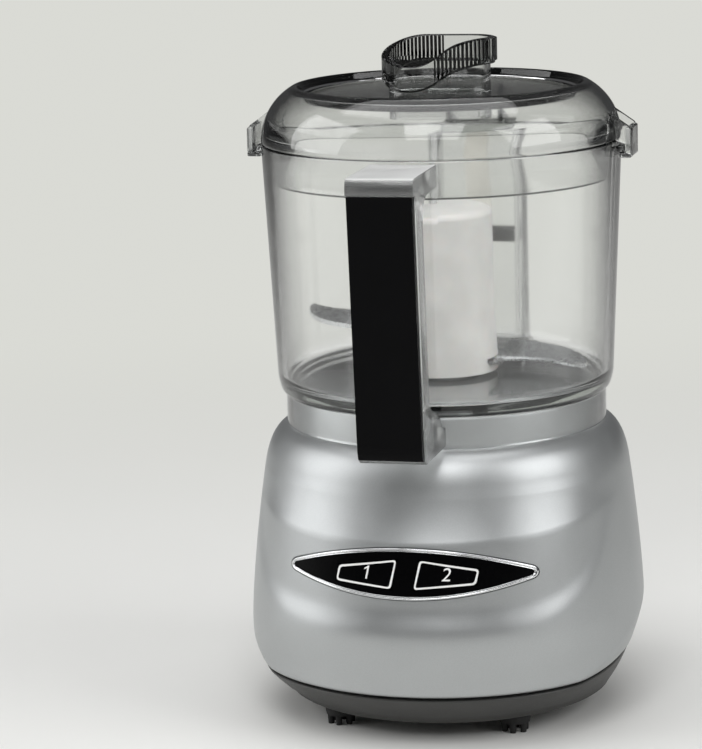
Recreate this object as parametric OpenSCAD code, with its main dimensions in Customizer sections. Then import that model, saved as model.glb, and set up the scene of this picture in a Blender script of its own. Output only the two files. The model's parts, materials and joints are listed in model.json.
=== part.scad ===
// Mini food chopper: a moulded motor base with a planetary drive, a clear work bowl with a
// handle, a twist-lock lid with a finger ring, a two-blade cutter and a lid interlock.
// Millimetres, Z up. The origin is on the drive axis, on the surface that the feet stand on.
// The handle and the control panel face -Y.

/* [Stand] */
// Height of a rubber foot below the base cover
foot_h = 6.2; // [5:0.1:8]
// Radius of a foot's disc
foot_r = 5.6; // [4.6:0.1:6.4]
// Sideways distance of the feet from the drive axis
foot_x = 30; // [26:0.5:32]
// Distance of the feet from the middle of the cover, front and rear
foot_y = 37; // [32:0.5:38]
// Radius of one prong of a foot
prong_r = 1.25; // [0.8:0.05:1.5]

/* [Base cover] */
// Height of the cover below the front edge of the housing
cover_h = 12.5; // [10:0.5:15]
// Radius of the cover at its lower edge
cover_r = 56.5; // [56:0.5:58]
// Thickness of the cover's floor and wall
cover_t = 2.4; // [1.8:0.1:3]

/* [Motor housing] */
// Height of the housing from its front lower edge to the deck round the collar
housing_h = 79.5; // [76:0.5:90]
// Largest radius of the housing
belly_r = 67.8; // [66:0.1:70]
// Radius of the housing under its shoulder
waist_r = 62.6; // [61.5:0.1:64]
// Height of the rounded shoulder
shoulder_h = 14; // [10:0.5:18]
// Wall of the housing
wall = 2.6; // [2:0.1:3]
// How far the lower edge leans forward of the drive axis
lean_y = 4; // [0:0.5:6]
// How far the brow over the panel stands out
brow_d = 2.6; // [0.5:0.1:3.5]
// How far the lip under the panel stands out beyond the brow
lip_d = 1.4; // [0.4:0.1:1.8]
// Distance from the interlock rod to the back of its tower
tower_back = 8.3; // [6.8:0.1:13]

/* [Collar] */
// Radius of the collar that the bowl sits over
collar_r = 52; // [50:0.1:52.5]
// Height of the collar above the deck
collar_h = 11; // [9:0.5:14]

/* [Bowl] */
// Outer radius of the bowl at its rim
rim_r = 61; // [60:0.1:62]
// Outer radius of the bowl at its bottom edge
bowl_foot_r = 57.1; // [56:0.1:58]
// Height of the bowl from the underside of its floor to the rim
bowl_h = 84.5; // [78:0.5:95]
// Wall of the bowl
bowl_wall = 2.4; // [2:0.1:2.8]
// Thickness of the bowl's floor
bowl_floor = 3; // [2.4:0.1:4]
// Height of the centre tube above the floor
tube_h = 47; // [40:0.5:52]
// Width of the rear column that guides the interlock rod
column_w = 28; // [26:0.5:32]

/* [Handle] */
// Width of the handle
handle_w = 22; // [18:0.5:26]
// Reach of the grip's face from the drive axis at the top
handle_reach = 94.6; // [90:0.2:102]
// How much less the grip reaches at the bottom
handle_rake = 6.6; // [0:0.2:9]
// Depth of the clear handle frame behind the grip
handle_depth = 9.5; // [7:0.5:11]
// Thickness of the grip plate
grip_t = 3.2; // [2.4:0.1:4]

/* [Lid] */
// Height of the lid above the bowl's rim
lid_h = 18.7; // [17:0.1:22]
// Wall of the lid
lid_wall = 2.4; // [1.8:0.1:2.8]
// How far the lid's top rim is drawn in from its side
lid_in = 11.4; // [9:0.1:13]
// Depth of the recess in the lid's top
lid_recess = 2.9; // [2:0.1:4]
// How far the lid's inner skirt reaches down into the bowl
lid_plug_h = 12; // [8:0.5:16]
// Width of a side lug
lug_w = 16; // [12:0.5:20]
// Angle that the lid turns through to unlock
lid_turn = 25; // [20:1:30]

/* [Finger ring] */
// Length of the finger ring
ring_l = 38; // [34:0.5:42]
// Width of the finger ring
ring_w = 21; // [18:0.5:24]
// Height of the ring's band
ring_band = 9.5; // [8:0.1:11]
// Rise of the band from its low front corner to its high end
ring_rise = 9.2; // [6:0.1:9.4]
// Wall of the band
ring_wall = 2; // [1.6:0.1:2.4]

/* [Cutter] */
// Radius of the blade hub
hub_r = 17; // [15.5:0.1:18]
// Height of the hub's closed top above the centre tube
hub_top = 11.5; // [10:0.1:14]
// Reach of the blades from the drive axis
blade_reach = 50; // [44:0.5:51.5]
// Thickness of a blade
blade_t = 1.5; // [1:0.1:2]

/* [Drive] */
// Radius of the drive shaft
shaft_r = 4; // [3.5:0.1:4.5]
// Module of the gear teeth
gear_m = 0.9; // [0.8:0.05:1]
// Width of the gears
gear_w = 8; // [6:0.5:9]
// Radius of the motor
motor_r = 26; // [24.5:0.5:28]
// Space between the motor shaft's lower end and the floor of the cover
motor_clear = 4.8; // [3:0.1:8]
// Radius of the motor shaft
rotor_r = 2.5; // [2:0.1:3]

/* [Control panel] */
// Width of the panel from tip to tip
panel_w = 81; // [78:0.5:84]
// Rise of the panel's upper edge above its tips
panel_up = 6.1; // [5.8:0.1:6.6]
// Drop of the panel's lower edge below its tips
panel_down = 8.2; // [8:0.1:9]
// Width of the bright rim
rim_w = 1.4; // [1:0.1:2.2]
// Travel of a button
button_travel = 0.8; // [0.5:0.1:1]

/* [Interlock] */
// Travel of the interlock rod
rod_travel = 3.5; // [2.5:0.1:4]
// Radius of the rod's round lower part
rod_r = 2.2; // [1.8:0.1:2.3]
// Wire diameter of the interlock spring
wire_d = 0.8; // [0.6:0.05:0.9]
// Number of turns of the interlock spring
spring_turns = 7; // [5:1:9]

/* [Hidden] */
$fn = 96;

// Clearances
part_gap = 0.3;      // between shells that meet without sliding
fit_gap = 0.15;      // between a piece and the pocket it drops into
run_gap = 0.04;      // radial clearance of a shaft in its bearing
slide_gap = 0.4;     // between pieces that slide past each other
eps = 0.02;          // overlap that joins two shapes of one solid

// Levels, from the standing surface up
split_z = foot_h + cover_h;
deck_z = split_z + housing_h;
plateau_z = deck_z + collar_h;
bowl_z = plateau_z + 0.8;
floor_z = bowl_z + bowl_floor;
rim_z = bowl_z + bowl_h;
lid_z = rim_z + part_gap;
lid_top_z = lid_z + lid_h;
plate_z = lid_top_z - lid_recess;
tube_top_z = floor_z + tube_h;

// Housing skin
belly_z = split_z + 12;
shoulder_z = deck_z - shoulder_h;
deck_r = collar_r + 1.5;
deck_hole_r = collar_r - 6;
side_curve = 1.5;
belly_tuck = 0.9;
brow_z = deck_z - 28.6;
brow_full = 36;       // bearings between which the brow fades out
brow_span = 78;
brow_run = 20;
brow_lift = 4.5;
lip_z = brow_z - 25.6;
lip_span = 68;        // bearing at which the lip meets the brow
edge_start = -45;     // where the lower edge starts to rise, towards the rear
edge_rise = 0.13;
crease_rise = 0.385;
crease_max = split_z + 32;
undercut = 0.3;
tower_half = 13;      // half angle of the tower's flat back
tower_fade = 7;
tongue_h = 4;         // height of the cover's tongue inside the housing
gland_r = 5.4;
gland_pad = gland_r + 3;
gland_z = split_at(180) + tongue_h + 1 + gland_pad;
tower_low = gland_z + gland_pad + 0.8;
tower_full = deck_z - 30;
skin_steps = 72;
side_rows = 20;
rows_below = 14;      // of these, rows from the crease to the brow
shoulder_rows = 6;
inner_rows = 9;

function smooth(a, b, x) = let (t = max(0, min(1, (x - a) / (b - a)))) t * t * (3 - 2 * t);
function bezier(p, t) =
    p[0] * pow(1 - t, 3) + p[1] * 3 * t * pow(1 - t, 2) + p[2] * 3 * t * t * (1 - t) + p[3] * pow(t, 3);
function arc(c, r, a0, a1, n = 6) =
    [for (i = [0:n]) c + r * [cos(a0 + (a1 - a0) * i / n), sin(a0 + (a1 - a0) * i / n)]];

// Bearing a runs from 0 at the front, round over +X, to 180 at the rear
function side_r(z) =
    z > belly_z
    ? belly_r - (belly_r - waist_r) * pow((z - belly_z) / (shoulder_z - belly_z), side_curve)
    : belly_r - belly_tuck * pow((belly_z - z) / (belly_z - split_z), 2);
function skin_y(z) = -lean_y * (deck_z - z) / (deck_z - split_z);
function edge_y(a) = -belly_r * cos(a) - lean_y;
function split_at(a) = split_z + edge_rise * max(0, edge_y(a) - edge_start);
function crease_at(a) = min(crease_max, split_z + 1 + crease_rise * max(0, edge_y(a) - edge_start));
function off_front(a) = min(a, 360 - a);
function ridge_at(a) = brow_z + brow_lift * pow(min(lip_span, off_front(a)) / 60, 2);
function lip_at(a) = lip_z + (ridge_at(a) - lip_z) * pow(min(1, off_front(a) / lip_span), 4.5);
function brow(a, z) =
    let (out = pow(max(0, min(1, (ridge_at(a) + brow_run - z) / brow_run)), 2))
    let (lip = smooth(lip_at(a) + 5, lip_at(a) - 4, z))
    let (under = 1 - 0.75 * smooth(lip_z - 4, split_z + 2, z))
    (brow_d * out + lip_d * lip) * under * smooth(brow_span, brow_full, off_front(a));
function tower_at(a) = 1 - smooth(tower_half, tower_half + tower_fade, abs(180 - a));
function skin_r(a, z) =
    let (r = side_r(z) + brow(a, z) - undercut * max(0, crease_at(a) - z))
    r + (tower_r - r) * tower_at(a) * smooth(tower_low, tower_full, z);
function on_skin(a, r, z) = [r * sin(a), skin_y(z) - r * cos(a), z];
function shoulder_point(t) =
    let (slope = (belly_r - waist_r) * side_curve / (shoulder_z - belly_z))
    let (rise = shoulder_h * 0.55)
    bezier([[waist_r, shoulder_z], [waist_r - rise * slope, shoulder_z + rise],
            [deck_r + 5, deck_z], [deck_r, deck_z]], t);
function shoulder_r(a, p) =
    let (f = (waist_r - p[0]) / (waist_r - deck_r))
    p[0] + (deck_r + (tower_r - deck_r) * sqrt(max(0, 1 - f * f)) - p[0]) * tower_at(a);

// A closed surface through rings of points; the last ring joins the first when looped
module skin(rings, looped) {
    n = len(rings[0]);
    m = len(rings);
    spans = looped ? m - 1 : m - 2;
    sides = [for (j = [0:spans], i = [0:n - 1], k = [0, 1])
        let (a = j * n + i, b = j * n + (i + 1) % n)
        let (c = ((j + 1) % m) * n + i, d = ((j + 1) % m) * n + (i + 1) % n)
        k == 0 ? [a, c, b] : [b, c, d]];
    caps = looped ? [] : [[for (i = [0:n - 1]) i], [for (i = [0:n - 1]) m * n - 1 - i]];
    polyhedron([for (r = rings) each r], concat(sides, caps), convexity = 8);
}

function bearings(n) = [for (i = [0:n - 1]) 360 * i / n];
function side_level(a, k) =
    let (lo = split_at(a), mid = crease_at(a), top = ridge_at(a), n = k - 1 - rows_below)
    k == 0 ? lo
    : n <= 0 ? mid + (top - mid) * (k - 1) / rows_below
    : top + (shoulder_z - top) * n / (side_rows - rows_below);
function outer_rings() = concat(
    [for (k = [0:side_rows + 1]) [for (a = bearings(skin_steps))
        let (z = side_level(a, k)) on_skin(a, skin_r(a, z), z)]],
    [for (k = [1:shoulder_rows]) [for (a = bearings(skin_steps))
        let (p = shoulder_point(k / shoulder_rows)) on_skin(a, shoulder_r(a, p), p[1])]]);
function deck_rings() =
    [for (z = [deck_z, deck_z - wall]) [for (a = bearings(skin_steps)) on_skin(a, deck_hole_r, z)]];
function inner_rings() = concat(
    [[for (a = bearings(skin_steps))
        on_skin(a, shoulder_r(a, [deck_r + 3, deck_z]) - wall, deck_z - wall)]],
    [for (k = [inner_rows:-1:0]) [for (a = bearings(skin_steps))
        let (lo = split_at(a), z = lo + (shoulder_z - lo) * k / inner_rows)
        on_skin(a, skin_r(a, z) - wall, z)]]);

// Screw posts that hold the cover
post_r = 4;
post_c = cover_r - cover_t - 2 - post_r;
post_a = 38;
post_z = foot_h + 6;
screw_r = 1.5;
post_places = [for (x = [-1, 1], y = [-1, 1])
    [x * post_c * cos(post_a), y * post_c * sin(post_a) - lean_y]];

// Gear train: sun on the motor, three planets on the carrier, ring in the case
sun_t = 12;
planet_t = 18;
ring_t = sun_t + 2 * planet_t;
planet_count = 3;
pressure = 20;
addendum = 0.8 * gear_m;
dedendum = 1.05 * gear_m;
backlash = 0.16;
planet_c = gear_m * (sun_t + planet_t) / 2;
case_wall = 3.2;
case_r = gear_m * ring_t / 2 + dedendum + case_wall;
deck_in_z = plateau_z - 3;
boss_h = 6;
carrier_t = 3.5;
carrier_r = planet_c + 4.5;
case_top_z = deck_in_z - boss_h + 3;
carrier_z = case_top_z - 2.4 - 0.6 - carrier_t;
gear_z = carrier_z - 0.5 - gear_w;
motor_plate_t = 2.5;
motor_top_z = gear_z - 1.8 - motor_plate_t;
case_low_z = motor_top_z + motor_plate_t;
ear_r = 4.2;
ear_c = case_r + ear_r + part_gap;
ear_count = 4;
pin_r = 2;
bell_h = 9;
fan_h = 7;
fan_gap = 1.5;
shaft_tail = 3;
shaft_low_z = foot_h + cover_t + motor_clear;
fan_z = shaft_low_z + shaft_tail;
bell_z = fan_z + fan_h + fan_gap;
motor_low_z = bell_z + bell_h;
motor_h = motor_top_z - motor_low_z;
bush_r = 6.4;
spigot_r = 8.2;
spigot_h = 9;
seal_h = 2.6;
tube_in_r = 9.4;
tube_out_r = 11.4;

// Cutter
dog_r = shaft_r + 1.2;
dog_h = 7;
hub_top_z = tube_top_z + hub_top;
hub_bore_r = tube_out_r + 0.7;
hub_low_z = floor_z + 1.5;
lower_blade_z = hub_low_z + 3;
upper_blade_z = hub_low_z + 17;

// Bowl
skirt_in_r = collar_r + slide_gap;
skirt_r = skirt_in_r + bowl_wall;
skirt_z = deck_z + part_gap;
column_y = rim_r + 1.5;
column_in = 8.4;
column_t = 2;
column_top_z = rim_z - 6;
column_low_z = deck_z + 1.2;
rod_y = column_y + column_in / 2;
tower_r = rod_y + tower_back;
shelf_z = deck_z + 5;
shelf_t = 2.5;
ramp_r = rim_r + 2.4;

// Lid
lug_r = rim_r + 5;
lug_wall = 2;
lug_low_z = rim_z - 5.5;
lug_lip = 1.6;
cam_z = column_top_z + 0.6;
cam_slope = rod_travel / (rod_y * lid_turn * PI / 180) * 1.05;
rear_lug_w = column_w - 1;

// Handle
handle_top_z = rim_z - 1;
grip_top_z = handle_top_z - 5.8;
grip_low_z = deck_z + 3.4;
handle_low_z = deck_z + 2;

// Interlock
rod_low_z = deck_z - 3;
rod_tip_z = cam_z - 0.3;
collar_ring_z = shelf_z + 24;
rod_flat_z = collar_ring_z + 12;
spring_r = 3.2;
plunger_r = 2;
plunger_top_z = rod_low_z - 0.3;
switch_z = deck_z - 26;
switch_h = 10;

// Control panel, in a frame whose -Y points out of the housing at the panel's middle
panel_z = brow_z - 10.6;
function front_y(z) = skin_y(z) - skin_r(0, z);
panel_tilt = atan((front_y(panel_z + 8) - front_y(panel_z - 8)) / 16);
tip_a = asin(panel_w / 2 / skin_r(35, panel_z));
tip_sag = skin_y(panel_z) - skin_r(tip_a, panel_z) * cos(tip_a) - front_y(panel_z);
panel_r = (pow(panel_w / 2, 2) + pow(tip_sag, 2)) / (2 * tip_sag);
panel_t = 2.2;
panel_out = 6;
panel_in = tip_sag + panel_t + 4;
tip_cut = 1.5;        // how much of a sharp tip is cut off
tip_rise = 2.4;       // how much higher the tips lie than the middle of the buttons
button_x = 13;
board_w = panel_w * 0.77;
board_h = (panel_up + panel_down) * 0.9;
board_gap = 2.1;
board_y = panel_sag(board_w / 2) + wall + board_gap;
board_t = 1.6;
post_x = panel_w * 0.35;
switch_body = 6;
stem_r = 2.2;
stem_y = board_y - 4.6;
button_slant = 0.95;
button_in = 3.7;
button_out = 23.6;
button_tall = [6.1, -3.8];
button_short = [3.5, -1.8];

silver = [0.66, 0.68, 0.69];
dark = [0.23, 0.23, 0.22];
black = [0.04, 0.04, 0.045];
clear = [0.85, 0.88, 0.9, 0.35];
steel = [0.72, 0.73, 0.75];
brass = [0.78, 0.62, 0.3];
copper = [0.72, 0.42, 0.25];
nylon = [0.88, 0.87, 0.82];

// Base

module motor_housing() {
    color(silver) difference() {
        union() {
            skin(concat(outer_rings(), deck_rings(), inner_rings()), true);
            collar_and_deck();
            for (p = post_places)
                translate([p[0], p[1], post_z])
                    cylinder(r = post_r, h = deck_z - wall / 2 - post_z);
            for (i = [0:ear_count - 1])
                rotate([0, 0, 45 + i * 90]) translate([ear_c, 0, deck_in_z - boss_h])
                    cylinder(r = ear_r, h = boss_h + 1);
            gland_frame() translate([0, 0, -gland_seat]) cylinder(r = gland_pad, h = gland_seat);
        }
        translate([0, 0, deck_in_z - 1])
            cylinder(r = bush_r, h = spigot_h + 5);
        for (p = post_places)
            translate([p[0], p[1], post_z - 1])
                cylinder(r = screw_r, h = 16);
        for (i = [0:ear_count - 1])
            rotate([0, 0, 45 + i * 90]) translate([ear_c, 0, deck_in_z - boss_h - 1])
                cylinder(r = screw_r, h = boss_h + 1);
        panel_frame() through(panel_out, panel_in + 2) lens(rim_w + 0.25);
        translate([0, rod_y, deck_z - 12])
            cylinder(r = rod_r + slide_gap, h = 14);
        gland_frame() translate([0, 0, -gland_in]) cylinder(r = gland_r, h = gland_in + 2);
    }
}

// Collar, plateau and the spigot that carries the shaft's bushing
module collar_and_deck() {
    rotate_extrude() polygon(concat(
        [[bush_r - 1, deck_in_z], [collar_r - 3, deck_in_z], [collar_r - 3, deck_z - wall * 0.7]],
        [[collar_r, deck_z - wall * 0.7]],
        arc([collar_r - 1.5, plateau_z - 1.5], 1.5, 0, 90, 4),
        [[spigot_r, plateau_z], [spigot_r, plateau_z + spigot_h], [bush_r - 1, plateau_z + spigot_h]]));
}

function cover_edge_r(a) = skin_r(a, split_at(a)) - 1.4;
function cover_tongue_r(a) = skin_r(a, split_at(a)) - wall - part_gap;
function cover_ring(r, z) = [for (a = bearings(skin_steps)) [r * sin(a), -lean_y - r * cos(a), z]];

module base_cover() {
    low_r = cover_r - 2.5;
    edge = [for (a = bearings(skin_steps)) on_skin(a, cover_edge_r(a), split_at(a) - part_gap)];
    belly = [for (a = bearings(skin_steps))
        let (r = (cover_edge_r(a) * 2 + cover_r) / 3)
        [r * sin(a), -lean_y - r * cos(a), (split_at(a) + foot_h * 2) / 3 - part_gap]];
    tongue = [for (k = [[0, -part_gap], [0, tongue_h], [cover_t, tongue_h]])
        [for (a = bearings(skin_steps)) on_skin(a, cover_tongue_r(a) - k[0], split_at(a) + k[1])]];
    color(dark) difference() {
        union() {
            skin(concat(
                [cover_ring(14, foot_h), cover_ring(low_r, foot_h), cover_ring(cover_r - 0.4, foot_h + 1)],
                [belly, edge], tongue,
                [cover_ring(cover_r - cover_t - 2, foot_h + cover_t + 1)],
                [cover_ring(14, foot_h + cover_t)]), false);
            for (p = post_places)
                translate([p[0], p[1], foot_h + 1])
                    cylinder(r = post_r, h = post_z - part_gap - foot_h - 1);
        }
        for (p = post_places) translate([p[0], p[1], foot_h - 1]) {
            cylinder(r = screw_r + 0.3, h = 20);
            cylinder(r = screw_r + 2, h = 1 + 3);
        }
        for (p = foot_places) translate([p[0], p[1], foot_h - 1])
            cylinder(r = peg_r + 0.1, h = 10);
        for (i = [-4:4]) translate([i * 5, -lean_y, foot_h])
            cube([2.4, 26 - abs(i) * 2, 12], center = true);
    }
}

module cover_screws() {
    color(steel) for (p = post_places)
        translate([p[0], p[1], foot_h + 3 - 0.05]) {
            translate([0, 0, -2]) cylinder(r = screw_r + 1.4, h = 2);
            translate([0, 0, -eps]) cylinder(r = screw_r - 0.02, h = 15);
        }
}

peg_r = 2.4;
prong_h = 3.2;
prong_count = 6;
foot_places = [for (y = [-1, 1], x = [-1, 1]) [x * foot_x, y * foot_y - lean_y]];

// Rubber foot: a disc on a peg, with a ring of prongs below
module rubber_foot(place) {
    color(black) translate([place[0], place[1], 0]) {
        translate([0, 0, prong_h]) cylinder(r1 = foot_r - 0.6, r2 = foot_r, h = foot_h - prong_h - 0.05);
        translate([0, 0, foot_h - 1]) cylinder(r = peg_r, h = cover_t + 2.4);
        for (i = [0:prong_count - 1])
            rotate([0, 0, i * 360 / prong_count - 90]) translate([foot_r - 0.7 - prong_r, 0, 0])
                cylinder(r1 = prong_r * 0.8, r2 = prong_r, h = prong_h + 0.5);
    }
}

// Control panel

module panel_frame() {
    translate([0, front_y(panel_z), panel_z]) rotate([-panel_tilt, 0, 0]) children();
}

// A flat outline in X and Z, carried through from out mm outside to in mm inside
module through(out, in) {
    rotate([90, 0, 0]) translate([0, 0, -in]) linear_extrude(out + in) children();
}

// The curved layer of the panel between two depths below its face
module layer(top, bottom) {
    translate([0, panel_r, -20]) difference() {
        cylinder(r = panel_r - top, h = 40, $fn = 240);
        translate([0, 0, -1]) cylinder(r = panel_r - bottom, h = 42, $fn = 240);
    }
}

// The panel's outline: an upper and a lower arc, with the tips cut blunt
module lens(grow) {
    half = panel_w / 2 + tip_cut;
    up_r = (pow(half, 2) + pow(panel_up, 2)) / (2 * panel_up);
    down_r = (pow(half, 2) + pow(panel_down, 2)) / (2 * panel_down);
    translate([0, tip_rise]) intersection() {
        circle(r = panel_w / 2 + grow, $fn = 240);
        translate([0, panel_up - up_r]) circle(r = up_r + grow, $fn = 240);
        translate([0, down_r - panel_down]) circle(r = down_r + grow, $fn = 240);
    }
}

// Outline of one button: tall at the panel's middle, short at its outer end, slanted
module button_outline(side, grow) {
    near = side * (button_in - grow);
    far = side * (button_out + grow);
    polygon([
        [near - button_slant, button_tall[1] - grow],
        [far - button_slant * 0.6, button_short[1] - grow],
        [far + button_slant * 0.4, button_short[0] + grow],
        [near + button_slant, button_tall[0] + grow]
    ]);
}

module panel_bezel() {
    color(steel) panel_frame() {
        intersection() {
            through(panel_out, panel_in) difference() {
                lens(rim_w);
                lens(fit_gap);
            }
            layer(-0.7, panel_t + 1.6);
        }
    }
}

module control_panel() {
    color(black) panel_frame() {
        difference() {
            intersection() {
                through(panel_out, panel_in) lens(0);
                layer(-0.1, panel_t);
            }
            for (s = [-1, 1]) through(panel_out, panel_in) button_outline(s, 0.3);
        }
        for (s = [-1, 1]) translate([s * post_x, board_y - 0.05, tip_rise * 0.8])
            rotate([90, 0, 0]) cylinder(r = 2.3, h = board_y - panel_sag(post_x) - panel_t * 0.6);
    }
}

function panel_sag(x) = panel_r - sqrt(panel_r * panel_r - x * x);

// Push button: curved cap flush with the panel, flange behind the plate, stem to the switch
module push_button(side) {
    color([0.06, 0.06, 0.065]) panel_frame() {
        intersection() {
            through(panel_out, panel_in) button_outline(side, 0);
            layer(-0.35, panel_t + 1.6);
        }
        intersection() {
            through(panel_out, panel_in) button_outline(side, 0.9);
            layer(panel_t + button_travel * 0.25, panel_t + 1.6);
        }
        translate([side * button_x, stem_y, 0]) rotate([90, 0, 0])
            cylinder(r = stem_r, h = stem_y - panel_sag(button_x) - panel_t);
    }
}

module switch_board() {
    color([0.1, 0.32, 0.18]) panel_frame()
        translate([-board_w / 2, board_y, -board_h / 2]) cube([board_w, board_t, board_h]);
}

// Tact switch on the board, its plunger just behind the button's stem
module tact_switch(side) {
    color([0.12, 0.12, 0.13]) panel_frame() translate([side * button_x, board_y, 0]) {
        translate([-switch_body / 2, -2.4, -switch_body / 2]) cube([switch_body, 2.4, switch_body]);
        rotate([90, 0, 0]) cylinder(r = 1.6, h = board_y - stem_y - button_travel - 0.3);
    }
}

// Interlock switch in the tower, with its sprung plunger

module interlock_switch() {
    half = 8;
    front_y = rod_y - 5;
    back_y = skin_y(switch_z) + sqrt(pow(tower_r - wall, 2) - half * half) - part_gap;
    color([0.15, 0.15, 0.16]) difference() {
        translate([-half, front_y, switch_z]) cube([2 * half, back_y - front_y, switch_h]);
        translate([0, rod_y, switch_z + 2]) cylinder(r = plunger_r + run_gap, h = switch_h);
    }
}

module interlock_plunger() {
    color(nylon) translate([0, rod_y, switch_z + 2 + 0.3])
        cylinder(r = plunger_r, h = plunger_top_z - switch_z - 2.3);
}

// Motor

module motor_can() {
    color(steel) translate([0, 0, motor_low_z]) difference() {
        cylinder(r = motor_r, h = motor_h);
        translate([0, 0, -1]) cylinder(r = motor_r - 2, h = motor_h - 1);
        cylinder(r = bearing_r + 0.01, h = motor_h + 1);
        for (s = [-1, 1]) translate([s * motor_screw_c, 0, motor_h - 5])
            cylinder(r = 1.3, h = 8);
        for (s = [-1, 1]) rotate([0, 0, s * 90]) translate([motor_r, 0, motor_h * 0.84])
            cube([12, 14, 5], center = true);
    }
}

bearing_r = 7;
bearing_h = 6;
motor_screw_c = 15;
magnet_t = 4.2;
core_r = motor_r - 2 - magnet_t - 0.9;

module motor_magnets() {
    color([0.2, 0.2, 0.22]) for (s = [0, 180])
        rotate([0, 0, s - 65]) translate([0, 0, motor_low_z + 8])
            rotate_extrude(angle = 130)
                translate([motor_r - 2 - magnet_t, 0]) square([magnet_t - 0.02, motor_h * 0.7]);
}

module upper_bearing() {
    color(brass) translate([0, 0, motor_top_z - bearing_h + 2]) bush(bearing_r, rotor_r + run_gap, bearing_h);
}

module lower_bearing() {
    color(brass) translate([0, 0, bell_z]) bush(bearing_r, rotor_r + run_gap, bearing_h - 2);
}

module bush(out_r, in_r, h) {
    difference() {
        cylinder(r = out_r, h = h);
        translate([0, 0, -1]) cylinder(r = in_r, h = h + 2);
    }
}

// End bell that closes the can and guides the two brushes
module brush_end_bell() {
    color([0.16, 0.16, 0.17]) difference() {
        union() {
            translate([0, 0, bell_z]) cylinder(r = motor_r, h = bell_h);
            translate([0, 0, motor_low_z - eps]) cylinder(r = motor_r - 2 - fit_gap, h = 3);
        }
        translate([0, 0, bell_z + 3]) cylinder(r = motor_r - 5, h = bell_h + 3);
        translate([0, 0, bell_z - 1]) cylinder(r = bearing_r + 0.01, h = 6);
        for (s = [0, 180]) rotate([0, 0, s]) translate([motor_r - 6, -2.1, bell_z + brush_low - 0.1])
            cube([8, 4.2, brush_h + 0.2]);
    }
}

brush_low = 4;
brush_h = 3.6;
commutator_r = 8;

module carbon_brushes() {
    color([0.1, 0.1, 0.1]) for (s = [0, 180]) rotate([0, 0, s])
        translate([commutator_r + 0.2, -2, bell_z + brush_low])
            cube([motor_r - commutator_r - 2, 4, brush_h]);
}

module armature_shaft() {
    color(steel) translate([0, 0, shaft_low_z])
        cylinder(r = rotor_r, h = gear_z + gear_w - 0.6 - shaft_low_z);
}

core_z = motor_low_z + 11;
core_h = motor_h * 0.5;
slot_count = 12;

// Laminated core with its slots, and the winding heads above and below
module armature_core() {
    color(copper) difference() {
        union() {
            translate([0, 0, core_z]) linear_extrude(core_h) difference() {
                circle(r = core_r);
                for (i = [0:slot_count - 1]) rotate([0, 0, i * 360 / slot_count])
                    translate([core_r - 1.4, -0.9]) square([3, 1.8]);
            }
            translate([0, 0, core_z - 5]) cylinder(r1 = core_r - 5, r2 = core_r - 3, h = 5 + eps);
            translate([0, 0, core_z + core_h - eps]) cylinder(r1 = core_r - 3, r2 = core_r - 5, h = 5);
        }
        translate([0, 0, core_z - 6]) cylinder(r = rotor_r + 0.01, h = core_h + 12);
    }
}

module commutator() {
    low_z = bell_z + bearing_h - 1.7;
    color(copper) translate([0, 0, low_z]) linear_extrude(core_z - 5.2 - low_z) difference() {
        circle(r = commutator_r);
        circle(r = rotor_r + 0.01);
        for (i = [0:slot_count - 1]) rotate([0, 0, i * 360 / slot_count])
            translate([commutator_r - 0.6, -0.25]) square([2, 0.5]);
    }
}

fan_r = 23;
blade_count = 9;

// Radial fan on the lower end of the motor shaft
module cooling_fan() {
    color([0.2, 0.22, 0.24]) translate([0, 0, fan_z]) difference() {
        union() {
            cylinder(r = 6, h = fan_h);
            translate([0, 0, fan_h - 1.6]) cylinder(r = fan_r, h = 1.6);
            for (i = [0:blade_count - 1]) rotate([0, 0, i * 360 / blade_count])
                translate([5, -0.7, 0]) cube([fan_r - 6, 1.4, fan_h - 1]);
        }
        translate([0, 0, -1]) cylinder(r = rotor_r + 0.01, h = fan_h + 2);
    }
}

// Gears

function inv_at(base, r) = let (c = acos(min(1, base / r))) tan(c) * 180 / PI - c;
function polar(r, a) = [r * cos(a), r * sin(a)];

// Involute outline with a tooth at angle 0; thin narrows each tooth at the pitch circle
function gear_outline(teeth, tip, root, thin, steps = 4) =
    let (pitch = gear_m * teeth / 2, base = pitch * cos(pressure))
    let (low = max(base, root), half = 90 / teeth - thin / pitch * 90 / PI + inv_at(base, pitch))
    [for (i = [0:teeth - 1], s = [-1, 1], k = [-1:steps])
        let (j = s < 0 ? k : steps - 1 - k)
        let (r = j < 0 ? root : low + (tip - low) * j / steps)
        let (a = j < 0 ? half : half - inv_at(base, r))
        polar(r, i * 360 / teeth + s * a)];

module gear_shape(teeth, grow = 0) {
    pitch = gear_m * teeth / 2;
    polygon(gear_outline(teeth, pitch + addendum + grow, pitch - dedendum + grow, backlash / 2 - grow));
}

module sun_gear() {
    color(brass) translate([0, 0, gear_z]) linear_extrude(gear_w - 0.6) difference() {
        gear_shape(sun_t);
        circle(r = rotor_r + 0.01);
    }
}

module planet_gear(i) {
    bearing = i * 360 / planet_count;
    color(nylon) rotate([0, 0, bearing]) translate([planet_c, 0, gear_z])
        rotate([0, 0, 180 / planet_t]) linear_extrude(gear_w) difference() {
            gear_shape(planet_t);
            circle(r = pin_r + run_gap);
        }
}

module planet_pins() {
    color(steel) for (i = [0:planet_count - 1])
        rotate([0, 0, i * 360 / planet_count]) translate([planet_c, 0, gear_z - 0.3])
            cylinder(r = pin_r, h = carrier_z + carrier_t - gear_z + 0.3);
}

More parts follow.
